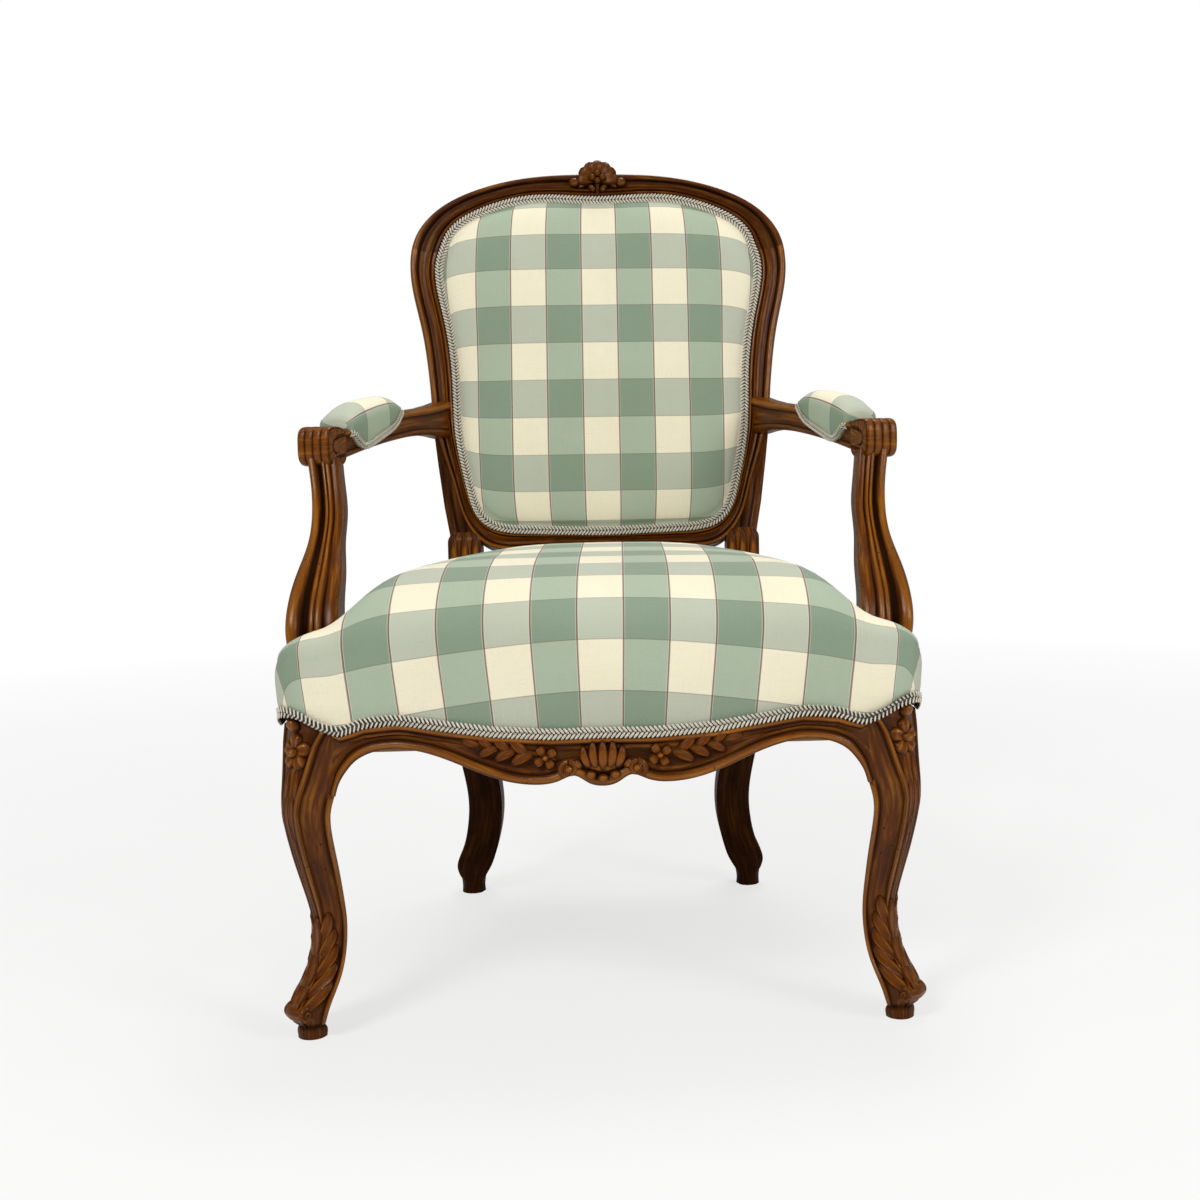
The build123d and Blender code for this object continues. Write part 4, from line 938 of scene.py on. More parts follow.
class CHAIR_OT_seat_frame(bpy.types.Operator):
    """Shaped front and side seat rails, with the carving of the front rail"""

    bl_idname = "chair.seat_frame"
    bl_label = "Seat frame"

    def execute(self, context):
        half = np.array(APRON, float)
        apron = np.vstack([half[:0:-1] * (-1, 1), half])
        curve = spline(apron, 320)
        plan = spline(FRONT_PLAN, 260)
        across = np.abs(curve[:, 0])
        line = np.column_stack([curve[:, 0], look_up(plan, curve[:, 0])])
        # Groove glaze and painted shade in the cove, darker in the middle behind the carving
        ground = 0.3 + 0.35 * (1 - soft_step(across, 110, 150))
        top = braid_height(across * CORNER_AT / FRONT_PLAN[-1][0]) + BRAID_LAP
        shape = rail(line, curve[:, 1], top, ground)
        self.carve(shape)
        wood_piece(shape, "front_seat_rail_carved", "front_seat_rail")
        plan = spline(SIDE_PLAN, 200)
        low = look_up(spline(SIDE_APRON, 300), plan[:, 1])
        at = SIDE_AT + lengths(plan) * SIDE_RUN / lengths(plan)[-1]
        for side in SIDES:
            shape = rail(plan, low, braid_height(at) + BRAID_LAP)
            wood_piece(shape, "side_seat_rail_moulded", "side_seat_rail", side)
        return {"FINISHED"}

    def carve(self, shape):
        """Tulip, berries, scrolls, side flowers and leaf sprays on the front rail."""

        def place(x, z, n):
            return stacked(x, front_y(x) - n, z)

        for x, lean, long, wide, bend, lift in TULIP:
            foot = (x, 277 + long * 0.47)
            shape.blob(place, foot, pi / 2 - lean, long, wide, 6.5, -0.12, 0.25, bend, lift)
        shape.blob(place, (0, 279), 0, 28, 9, 6, 0, lift=1)
        for x, z in ((0, 268), (-12, 271.5), (12, 271.5)):
            shape.blob(place, (x, z), 0, 11.5, 9.5, 7, 0, 0.2, lift=2)
        for side in (-1, 1):
            turn = np.linspace(0.4, 3.3 * pi, 40)
            reach = np.linspace(1.0, 9.0, 40)
            x = side * (33 - np.cos(turn) * reach)
            shape.tube(place(x, 277.5 + np.sin(turn) * reach, 1.8), np.linspace(2.6, 3.2, 40), 0.1)
            shape.blob(place, (side * 33, 277.5), 0, 9, 9, 6.5, 0, lift=0.5)
            shape.blob(place, (side * 24, 282), side * 0.9, 11, 8, 5, 0, 0.3)
            flower(shape, place, side * 56, 289, 12, 4, 0.6, 0.5, 0.42)
            stem = np.linspace(0, 1, 14)
            sx, sz = side * (46 + 78 * stem), 287 + 14 * stem + 3 * np.sin(stem * pi)
            shape.tube(place(sx, sz, -0.8), np.linspace(2.2, 1.2, 14), 0.3)
            for i, t in enumerate((0.34, 0.56, 0.78)):
                for up in (-1, 1):
                    a = (0.18 + up * 0.62) if side > 0 else pi - 0.18 - up * 0.62
                    x, z = side * (46 + 78 * t + 3 * up), 287.5 + 15 * t
                    long = 25 - 2 * i
                    middle = (x + cos(a) * long * 0.4, z + sin(a) * long * 0.38)
                    broad, curl = 11.5 - 0.8 * i, 0.2 * up * side
                    shape.blob(place, middle, a, long, broad, 5, 0.05, 0.6, curl, lift=-0.4)
            tip = 0.25 if side > 0 else pi - 0.25
            shape.blob(place, (side * 128, 303.5), tip, 20, 9, 4.4, 0.1, 0.6, lift=-0.4)


# Front legs

LEG_MIDDLE = (291, -243)
# Bead between the front of the leg and its corner face, and how far that face bulges, by height
LEG_BEAD = [
    (0, 0.40), (232, 0.38), (250, 0.30), (266, 0.14), (283, -0.06), (300, -0.28), (308, -0.44),
    (315, -0.6), (345, -0.6),
]
LEG_BULGE = [(0, 0.03), (235, 0.04), (280, 0.09), (304, 0.15), (322, 0.34), (345, 0.38)]
# Beads of the leg's section, in half widths, with their darkness of groove glaze and painted shade
EDGE_BEAD = [
    (-0.98, -0.82, 0.6), (-1.0, -0.93, 0.2), (-0.97, -1.02, 0.0), (-0.90, -1.05, 0.0),
    (-0.82, -1.03, 0.1), (-0.77, -0.96, 0.8), (-0.72, -0.92, 0.9),
]
MIDDLE_BEAD = [
    (-0.12, -0.95, 0.9), (-0.07, -1.03, 0.2), (0, -1.07, 0.0), (0.08, -1.04, 0.1),
    (0.13, -0.95, 0.95),
]


def corner_middle(z):
    """How far out the middle of the leg's corner face lies, in half widths."""
    return (1 + look_up(LEG_BEAD, z)) / 2 + look_up(LEG_BULGE, z)


def leg_loop(z):
    """Section of a front leg in half widths, with its darkness of groove glaze and painted shade."""
    bead, middle = look_up(LEG_BEAD, z), corner_middle(z)
    cut = 1.15 - soft_step(z, 246, 272)
    kept, tight = 1 - soft_step(z, 244, 258), 1 - 0.7 * soft_step(z, 262, 300)
    front = [
        ((x + 1) * tight - 1, -0.9 + (y + 0.9) * kept, 0.28 + (dark - 0.28) * kept)
        for x, y, dark in EDGE_BEAD
    ]
    first = front[-1][0] + 0.08 * tight
    front += [(first + (bead - 0.19 - first) * t, -0.90, 0.28) for t in (0.1, 0.35, 0.65, 0.9)]
    front += [(bead + x, y, dark) for x, y, dark in MIDDLE_BEAD]
    start = (bead + 0.2, -0.91)
    for t, dark in ((0.0, 0.6), (0.35, 0.22), (0.7, 0.14)):
        swell = 0.04 * sin(pi * t)
        x, y = start[0] + (middle - start[0]) * t + swell, start[1] - (middle + start[1]) * t - swell
        front.append((x, y, dark))
    side = [(-y, -x, dark) for x, y, dark in reversed(front)]
    # The leg's back faces get painted shade
    rear = [(0.4, 1, 0.7), (cut - 1, 1, 0.8), (-0.83, 1 - cut, 0.95), (-0.92, -0.5, 0.95)]
    return front + [(middle, -middle, 0.12)] + side + rear


def leg_at(z):
    rows = stations(FRONT_LEG, 300)
    return [look_up(rows, z, i) for i in (1, 2, 3)]


def knee(t, z, n):
    """Point of the leg's outer corner face: across it, height, out of it."""
    t, z, n = np.broadcast_arrays(t, z, n)
    ox, oy, half = leg_at(z)
    reach = corner_middle(z) * half
    span = (1 - look_up(LEG_BEAD, z)) / sqrt(2) * half
    n = n - sqrt(2) * look_up(LEG_BULGE, z) * half * np.minimum((t / span) ** 2, 1)
    x = LEG_MIDDLE[0] + ox + reach + (t + n) / sqrt(2)
    y = LEG_MIDDLE[1] - oy - reach + (t - n) / sqrt(2)
    return np.stack([x, y, z], axis=-1)


def around(t, z, n):
    """Point round the ankle and foot: distance round from the outer corner, height, out of it."""
    t, z, n = np.broadcast_arrays(t, z, n)
    ox, oy, half = leg_at(z)
    a = pi / 4 + t / (1.05 * half)
    x, y = np.sin(a), -np.cos(a)
    square = 0.97 / np.maximum(np.abs(x), np.abs(y))
    corner = 2 * corner_middle(z) / (np.abs(x) + np.abs(y))
    r = np.minimum(square, corner) * half + n
    return np.stack([LEG_MIDDLE[0] + ox + x * r, LEG_MIDDLE[1] - oy + y * r, z], axis=-1)


# Leaves under the knee's flower: across, height, length, width
KNEE_LEAVES = [(-8, 262, 36, 9), (5, 260, 36, 9), (-6, 232, 60, 7), (1, 226, 74, 7), (8, 232, 56, 6)]


class CHAIR_OT_front_legs(bpy.types.Operator):
    """Cabriole front legs with carved knees and leafed feet"""

    bl_idname = "chair.front_legs"
    bl_label = "Front legs"

    def execute(self, context):
        for side in SIDES:
            wood_piece(self.leg(), "front_leg_carved", "front_leg", side)
        return {"FINISHED"}

    def leg(self):
        shape = Shape()
        rows = stations(FRONT_LEG, 170)
        section = np.array([leg_loop(z) for z in rows[:, 0]])
        turn = np.arctan2(section[..., 1], section[..., 0])
        height = rows[:, 0]
        foot = 1 - soft_step(height, 9, 18)
        # The foot pad is set evenly darker; a dark ring at 13 mm, in the groove above the pad, is glaze
        # and painted shade
        dark = section[..., 2] * (1 - foot)[:, None] + 0.45 * foot[:, None]
        dark = np.clip(dark + 0.5 * np.exp(-(((height - 13) / 3) ** 2))[:, None], 0, 1)
        plain = section[..., :2] * (1 - foot)[:, None, None]
        section = plain + np.stack([np.cos(turn), np.sin(turn)], -1) * (foot * 1.02)[:, None, None]
        rim = 0.08 * np.exp(-(((height - 6) / 4) ** 2)) - 0.14 * np.exp(-(((height - 13) / 2.5) ** 2))
        xy = section * (rows[:, 3] * (1 + rim))[:, None, None]
        xy = xy + np.column_stack([LEG_MIDDLE[0] + rows[:, 1], LEG_MIDDLE[1] - rows[:, 2]])[:, None]
        z = np.broadcast_to(height[:, None], xy.shape[:2])
        shape.grid(tuck(np.dstack([xy, z])), dark, wrap=True, caps=True)
        self.knee_flower(shape)
        self.foot_leaves(shape)
        return shape

    def knee_flower(self, shape):
        """Button, flower and drooping leaves on the knee's corner face."""
        shape.blob(knee, (-3, 321), 0, 15, 15, 8, 0)
        shape.tube(knee(-2.0, np.linspace(314, 304, 6), 0.4), 2.2)
        flower(shape, knee, -5, 294, 17.5, 5, pi / 2, 0.0, 0.4)
        for t, z, long, wide in KNEE_LEAVES:
            shape.blob(knee, (t, z), -pi / 2, long, wide, 4, 0.0, 0.55, lift=-0.6)

    def foot_leaves(self, shape):
        """Leaves climbing from the toe scroll round the ankle."""
        for i, z in enumerate((110, 94, 77, 60, 44)):
            for side in (-1, 1):
                a, t = pi / 2 - side * (0.34 + 0.04 * i), side * (9 + 2.2 * i) - 3
                shape.blob(around, (t, z), a, 36, 13 + i, 5.4, 0.15, 0.65, 0.15 * side, lift=-0.8)
        for z, long, wide in ((100, 50, 11), (68, 46, 13), (46, 30, 15)):
            shape.blob(around, (-3, z), pi / 2, long, wide, 7.5, 0.1, 0.65, lift=-0.5)
        t = np.linspace(-15, 12, 9)
        shape.tube(knee(t, 29.0, -4.0), 9.6 - 0.006 * t**2, 0.15, 18)
        turn = np.linspace(0.3, 3.2 * pi, 34)
        reach = np.linspace(1.2, 9.0, 34)
        for t in (-14.5, 12):
            path = knee(t, 29 + np.sin(turn) * reach, np.cos(turn) * reach - 3)
            shape.tube(path, np.linspace(1.8, 2.6, 34), 0.25)


# Arms

# Sections of the arm and its support, in half sizes, with their darkness of groove glaze and painted
# shade on the under and back faces
ARM_SIDE = [
    (0.97, -0.86, 0.3), (1.02, -0.72, 0.05), (1.0, -0.6, 0.3), (0.95, -0.54, 1.0), (0.94, -0.44, 0.5),
    (0.96, 0.0, 0.15), (0.94, 0.44, 0.5), (0.95, 0.54, 1.0), (1.0, 0.6, 0.3), (1.02, 0.74, 0.0),
    (0.95, 0.92, 0.0), (0.75, 1.02, 0.1),
]
ARM_LOOP = [
    *((-x, y, dark) for x, y, dark in ARM_SIDE), (0, 1.04, 0.2), *ARM_SIDE[::-1], (0.8, -1.0, 0.45),
    (-0.8, -1.0, 0.45),
]
SUPPORT_LOOP = [
    (1.0, -0.1, 0.5), (1.0, -0.5, 0.5), (0.99, -0.75, 0.35), (0.93, -0.92, 0.1), (0.83, -1.02, 0.0),
    (0.7, -1.05, 0.0), (0.58, -1.02, 0.05), (0.48, -0.93, 0.3), (0.42, -0.8, 0.8),
    (0.36, -0.72, 1.0), (0.28, -0.68, 1.0), (0.2, -0.72, 1.0), (0.14, -0.82, 0.7),
    (0.09, -0.95, 0.15), (0.03, -1.03, 0.0), (-0.05, -1.05, 0.0), (-0.1, -1.03, 0.2),
    (-0.13, -0.97, 0.9), (-0.16, -1.02, 0.3), (-0.22, -1.06, 0.0), (-0.31, -1.06, 0.0),
    (-0.38, -1.0, 0.15), (-0.42, -0.93, 0.7), (-0.46, -0.88, 1.0), (-0.5, -0.92, 0.6),
    (-0.56, -0.97, 0.2), (-0.75, -0.98, 0.12), (-0.9, -0.95, 0.1), (-0.98, -0.85, 0.12),
    (-1, -0.6, 0.2), (-1, 0.7, 0.35), (-0.9, 0.95, 0.4), (-0.6, 1.0, 0.45), (0.6, 1.0, 0.5),
    (0.9, 0.95, 0.6), (1, 0.7, 0.6),
]
# Hand-hold: half its depth and height, its lift, and its cheek as share of the side, sink, darkness of
# groove glaze and painted shade
KNUCKLE_SIZE = (20, 23)
KNUCKLE_LIFT = 1.5
KNUCKLE_HALF = 21
KNUCKLE_POWER = 3.6
CHEEK = [
    (0.02, 0.4, 0.1), (0.2, 0.4, 0.05), (0.36, 0.5, 0.15), (0.40, 1.9, 1.0), (0.44, 1.9, 1.0),
    (0.48, 0.5, 0.15), (0.62, 0.4, 0.08), (0.8, 0.6, 0.1), (0.92, 1.2, 0.05),
]


class CHAIR_OT_arms(bpy.types.Operator):
    """Curved arms with fluted hand-holds, and the moulded arm supports"""

    bl_idname = "chair.arms"
    bl_label = "Arms"

    def execute(self, context):
        for side in SIDES:
            wood_piece(self.arm(), "arm_moulded", "arm", side)
            wood_piece(self.support(), "arm_support_moulded", "arm_support", side)
        return {"FINISHED"}

    def arm(self):
        shape = Shape()
        place = np.linspace(0.04, 1.0, 70)
        middle, out = arm_frame(place)
        loop = np.array(ARM_LOOP)
        a = loop[None, :, 0] * look_up(ARM_SECTIONS, place)[:, None]
        b = loop[None, :, 1] * look_up(ARM_SECTIONS, place, 2)[:, None]
        rings = middle[:, None] + out[:, None] * a[..., None] + b[..., None] * UP
        # Painted shade: the arm darkens where it runs in under the hand-hold
        dark = np.broadcast_to(loop[None, :, 2], a.shape) + soft_step(place, 0.9, 0.95)[:, None] * 0.8
        shape.grid(rings, np.clip(dark, 0, 1), wrap=True, caps=True)
        self.knuckle(shape)
        return shape

    def knuckle(self, shape):
        """Hand-hold: four lobes rolled over the arm's end, with a scroll on each cheek."""
        across = np.linspace(-KNUCKLE_HALF, KNUCKLE_HALF, 57)
        wave = np.abs(np.sin((across / KNUCKLE_HALF + 1) * 2 * pi)) ** 0.55
        edge = soft_step(np.abs(across), 17, 21)
        turn = np.linspace(0, 2 * pi, 72, endpoint=False)
        c, s = np.cos(turn), np.sin(turn)
        side = sum(np.abs(v / size) ** KNUCKLE_POWER for v, size in zip((c, s), KNUCKLE_SIZE))
        side = side ** (-1 / KNUCKLE_POWER)
        middle, out = arm_frame(np.array([1.0]))
        middle, out = middle[0] + (0, 0, KNUCKLE_LIFT), out[0]
        ahead = np.array([out[1], -out[0], 0.0])
        around_it = (ahead[None] * c[:, None] + UP[None] * s[:, None]) * side[:, None]
        nose = soft_step(c + 0.5 * s, -0.7, 0.1)
        rings, dark = [], []
        for share, sink, tone in CHEEK:
            squared = soft_step(share, 0.5, 0.95)
            round_off = (squared + (1 - squared) * KNUCKLE_SIZE[0] / side)[:, None]
            drop = 0.5 + (sink - 0.5) * soft_step(c, -0.5, 0.2)
            rings.append(middle - out * (KNUCKLE_HALF - drop)[:, None] + around_it * share * round_off)
            dark.append(0.1 + (tone - 0.1) * soft_step(c, -0.5, 0.2))
        cheek = list(zip(rings, dark))[::-1]
        # Grooves between the lobes are dark with glaze and painted shade
        for a, w, e in zip(across, wave, edge):
            depth = (1.2 * (1 - w) * nose + 1.2 * e * (1 - w)) / KNUCKLE_SIZE[0]
            rings.append(middle + out * a + around_it * (1 - depth)[:, None])
            dark.append(np.clip((1 - 1.25 * w) * nose, 0.05, 1))
        for ring, tone in cheek:
            flat = (ring - middle) @ out
            rings.append(ring - 2 * flat[:, None] * out)
            dark.append(tone)
        shape.grid(np.array(rings), np.array(dark), wrap=True, caps=True)

    def support(self):
        rows = stations(SUPPORT, 90)
        loop = np.array(SUPPORT_LOOP)
        x = rows[:, 1][:, None] + loop[None, :, 0] * rows[:, 3][:, None]
        y = rows[:, 2][:, None] + loop[None, :, 1] * rows[:, 4][:, None]
        rings = stacked(x, y, rows[:, 0][:, None])
        return Shape().grid(rings, loop[None, :, 2], wrap=True, caps=True)


# Upholstery

# Arm supports as the cloth meets them, and how far it keeps from the rear posts
SUPPORT_INNER = 283
SUPPORT_Y = (-135, -48)
POST_CLEAR = 2
# Cloth below this height is free of the supports
FREE_Z = 342
# Seat: size of its plan and height, above the braid at its hem and from the floor up its side
SEAT_HEM = [(0.996, 4), (1.006, 9)]
SEAT_WALL = [(1.010, 344), (1.0125, 358), (1.014, 371), (1.0125, 384), (1.006, 396)]
SEAT_OVER_BRAID = 11
SEAT_EDGE_Z, SEAT_RISE = 396, 77
SEAT_CROWN = np.radians([*range(3, 84, 3), 85, 86.5, 88, 89, 89.8])
SEAT_UNDER = [(0.97, 349), (0.5, 352), (0.02, 352)]
MIDDLE_SIZE = 0.02
# Sag beside the arm supports: place back, reach behind it, in front of it and inwards, share, level
SAG_Y, SAG_BEHIND, SAG_AHEAD, SAG_IN, SAG_SHARE, SAG_Z = -85, 240, 185, 40, 0.62, 352
# Fullness of the seat: place back, reach across and back, rise, heights between which it grows
FULL_Y, FULL_ACROSS, FULL_BACK, FULL_RISE, FULL_Z = 50, 170, 120, 5, (366, 410)
# Small pleats at the front corners: place, reach, pitch, depth
PLEAT_AT, PLEAT_REACH, PLEAT_PITCH, PLEAT = (305, -262), 16, 3.2, 1.6
# Back: size of its inner line and height off the face, at the hem, underneath and outside
BACK_MIDDLE = np.array([0.0, 255.0])
BACK_HEM = [(1.0, -4.5), (0.99, -3.0), (0.965, -1.0), (0.945, 0.5)]
BACK_EDGE = 0.5
BACK_CROWN = np.radians(np.arange(6, 90, 4))
BACK_UNDER = [(0.985, -5.0), (0.5, -5.5), (0.02, -5.5)]
OUTSIDE_BACK = [
    (0.997, -34.6), (0.985, -35.6), (0.94, -36.6), (0.8, -38.0), (0.6, -39.0), (0.4, -39.6),
    (0.2, -39.9), (0.02, -40.0),
]
OUTSIDE_UNDER = [(0.997, -34.6), (0.99, -34.3), (0.6, -37.8), (0.02, -38.8)]
# How far the cloth of the back is drawn in at its edge
DRAWN_IN, DRAWN_POWER = 26, 9
CLOTH_SHARP = 60
PAD_SIDES = 48


def clear_of_wood(points):
    """Draws cloth in beside the arm supports and the rear posts."""
    p = points.copy()
    x, y, z = np.abs(p[..., 0]), p[..., 1], p[..., 2]
    side = np.sign(p[..., 0])
    past = np.maximum(np.maximum(SUPPORT_Y[0] - y, y - SUPPORT_Y[1]), 0)
    x = np.minimum(x, SUPPORT_INNER + past * 4.0 + np.maximum(FREE_Z - z, 0) * 6)
    post_x, post_y = POST_X[0] - POST_CLEAR, POST_Y[0] - POST_CLEAR
    inside = (x > post_x) & (y > post_y)
    nearer = x - post_x <= y - post_y
    p[..., 0] = side * np.where(inside & nearer, post_x, x)
    p[..., 1] = np.where(inside & ~nearer, post_y, y)
    return p


def seam(uv):
    """Rows of UV with their first column again at the end, where a ring closes."""
    return np.concatenate([uv, uv[:, :1]], axis=1)


def run_steps(rings):
    return np.linalg.norm(np.diff(rings, axis=0), axis=2)


def seat_level(size, height):
    return np.column_stack([scaled_plan(size), np.broadcast_to(height, len(RING))])


class CHAIR_OT_seat(bpy.types.Operator):
    """Crowned seat in checked cloth"""

    bl_idname = "chair.seat"
    bl_label = "Seat"

    def execute(self, context):
        line = ring_braid()
        rings = [seat_level(size, line + above) for size, above in SEAT_HEM]
        rings += [seat_level(size, np.maximum(z, line + SEAT_OVER_BRAID)) for size, z in SEAT_WALL]
        for turn in SEAT_CROWN:
            size = MIDDLE_SIZE + (SEAT_WALL[-1][0] - MIDDLE_SIZE) * max(cos(turn), 0) ** 0.6
            rings.append(seat_level(size, SEAT_EDGE_Z + SEAT_RISE * sin(turn)))
        rings = np.array(rings[::-1])
        outward = ring_normals(RING)
        corner = np.abs(np.abs(RING[:, 0]) - PLEAT_AT[0]) + np.abs(RING[:, 1] - PLEAT_AT[1])
        pull = np.exp(-((corner / PLEAT_REACH) ** 2)) * np.cos(corner / PLEAT_PITCH)
        low = soft_step(-rings[..., 2], -400, -345)
        rings[..., :2] += outward[None] * (pull[None] * low * PLEAT)[..., None]
        uv = self.laid(rings, outward)
        rings = self.settled(rings)
        shape = Shape().grid(clear_of_wood(rings), None, seam(uv), wrap=True)
        under = np.array([rings[-1], *(seat_level(*level) for level in SEAT_UNDER)])
        shape.grid(clear_of_wood(under), wrap=True)
        for start in (0, shape.count - len(RING)):
            shape.close(start, uv[0])
        piece = shape.build("seat_checked", check_cloth(), "check_cloth", sharp=CLOTH_SHARP)
        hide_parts("seat_cover", "seat_stuffing")
        return {"FINISHED"}

    def laid(self, rings, outward):
        """UV of the cloth as if laid flat from the seat's middle outwards."""
        extra = np.cumsum(run_steps(rings) - run_steps(rings[..., :2]), axis=0)
        extra = np.vstack([np.zeros(len(RING)), extra])
        for _ in range(10):
            outward = unit(np.roll(outward, 1, 0) + outward + np.roll(outward, -1, 0))
        uv = rings[..., :2] + outward[None] * extra[..., None]
        uv[..., 1] -= np.interp(sizes().seat_row / MM, rings[::-1, 0, 2], uv[::-1, 0, 1])
        return uv

    def settled(self, rings):
        """Cloth pulled down beside the arm supports and fuller towards the back."""
        x, y, z = np.abs(rings[..., 0]), rings[..., 1], rings[..., 2]
        reach = np.where(y > SAG_Y, SAG_BEHIND, SAG_AHEAD)
        inward = np.maximum(SUPPORT_INNER - x, 0) / SAG_IN
        beside = np.exp(-(inward**2) - ((y - SAG_Y) / reach) ** 2)
        fuller = np.exp(-((x / FULL_ACROSS) ** 2) - ((y - FULL_Y) / FULL_BACK) ** 2)
        sag = SAG_SHARE * beside * np.maximum(z - SAG_Z, 0)
        moved = rings.copy()
        moved[..., 2] += FULL_RISE * fuller * soft_step(z, *FULL_Z) - sag
        return moved


class CHAIR_OT_back(bpy.types.Operator):
    """Crowned inside back and the stretched outside back"""

    bl_idname = "chair.back"
    bl_label = "Back"

    def execute(self, context):
        inner = back_inner()
        crown = sizes().crown / MM
        levels = list(BACK_HEM)
        for turn in BACK_CROWN:
            levels.append((MIDDLE_SIZE + 0.92 * cos(turn) ** 0.62, BACK_EDGE + crown * sin(turn)))
        levels.append((MIDDLE_SIZE, BACK_EDGE + crown))
        rings, flats = self.levels(inner, levels)
        extra = np.cumsum((run_steps(rings) - run_steps(flats))[::-1], axis=0)[::-1]
        extra = np.vstack([extra, np.zeros(len(inner))])
        spread = inner - BACK_MIDDLE
        share = np.linalg.norm(flats - BACK_MIDDLE, axis=2) / np.linalg.norm(spread, axis=1)
        extra = extra + DRAWN_IN * share**DRAWN_POWER
        row = (0, sizes().back_row / MM)
        uv = flats + unit(spread)[None] * extra[..., None] * (0.5, 1) - row
        under = [rings[0], *self.levels(inner, BACK_UNDER)[0]]
        piece = self.sewn("back_checked", rings[::-1], uv[::-1], under, 0)
        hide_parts("back_cover", "back_stuffing")
        rings, flats = self.levels(inner, OUTSIDE_BACK)
        under = self.levels(inner, OUTSIDE_UNDER)[0]
        piece = self.sewn("outside_back_checked", rings, flats - row, under, len(rings) - 1)
        x, y = inner[:, 0], inner[:, 1]
        area = 0.5 * abs(np.dot(x, np.roll(y, -1)) - np.dot(y, np.roll(x, -1))) * MM * MM
        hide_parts("outside_back_cover")
        return {"FINISHED"}

    def levels(self, inner, table):
        """Rings of the back at each size and height, and their places up its face."""
        flats = np.array([BACK_MIDDLE + (inner - BACK_MIDDLE) * size for size, _ in table])
        off = np.array([[height] for _, height in table])
        return on_back(flats[..., 0], flats[..., 1], off), flats

    def sewn(self, name, rings, uv, under, middle):
        """Closed piece of cloth: its face, its underside and their small middles."""
        shape = Shape().grid(rings, None, seam(uv), wrap=True)
        shape.grid(under, wrap=True)
        count = rings.shape[1]
        for start in (middle * count, shape.count - count):
            shape.close(start, [(0.0, BACK_MIDDLE[1] - sizes().back_row / MM)] * count)
        return shape.build(name, check_cloth(), "check_cloth", sharp=CLOTH_SHARP)


class CHAIR_OT_arm_pads(bpy.types.Operator):
    """Arm pads saddled over the arms"""

    bl_idname = "chair.arm_pads"
    bl_label = "Arm pads"

    def execute(self, context):
        for side in SIDES:
            mirrored = side == "left"
            name = "arm_pad_checked_" + side
            piece = self.pad().build(name, check_cloth(), "check_cloth", mirrored, sharp=CLOTH_SHARP)
            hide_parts("arm_pad_cover_" + side, "arm_pad_stuffing_" + side)
        return {"FINISHED"}

    def pad(self):
        table = np.array(PAD_SECTIONS)
        first, start, *_, end, last = table[:, 0]
        rear, front = np.linspace(first, start, 4)[:-1], np.linspace(end, last, 4)[1:]
        place = np.concatenate([rear, np.linspace(start, end, 44), front])
        half, low, high = (self.eased(table, i, place) for i in (1, 2, 3))
        turn = np.linspace(0, 2 * pi, PAD_SIDES, endpoint=False) - pi / 2
        c, s = np.cos(turn), np.sin(turn)
        lower, upper = ((np.abs(c) ** k + np.abs(s) ** k) ** (-1 / k) for k in (4, 2.6))
        p = np.where(s > 0, upper, lower)
        a = half[:, None] * (c * p)[None]
        b = ((low + high) / 2)[:, None] + (high - low)[:, None] / 2 * (s * p)[None]
        middle, out = arm_frame(place)
        rings = middle[:, None] + out[:, None] * a[..., None] + b[..., None] * UP
        girth = np.linalg.norm(np.diff(rings, axis=1, append=rings[:, :1]), axis=2).mean(0)
        across = np.concatenate([[0.0], np.cumsum(girth)])
        along = lengths(middle)
        across, along = across - across[PAD_SIDES // 2], along - along.mean()
        uv = np.stack(np.meshgrid(across, along, indexing="xy"), -1)
        return Shape().grid(rings, None, uv, wrap=True, caps=True)

    def eased(self, table, column, place):
        """A column of the pad's table: smooth along the pad, straight at its ends."""
        line = spline(table[1:-1, [0, column]] * (100, 1), 200, lead=1)
        inner = np.interp(place, line[:, 0] / 100, line[:, 1])
        inner = np.where(place < table[1, 0], look_up(table[:2], place, column), inner)
        return np.where(place > table[-2, 0], look_up(table[-2:], place, column), inner)


# Braid


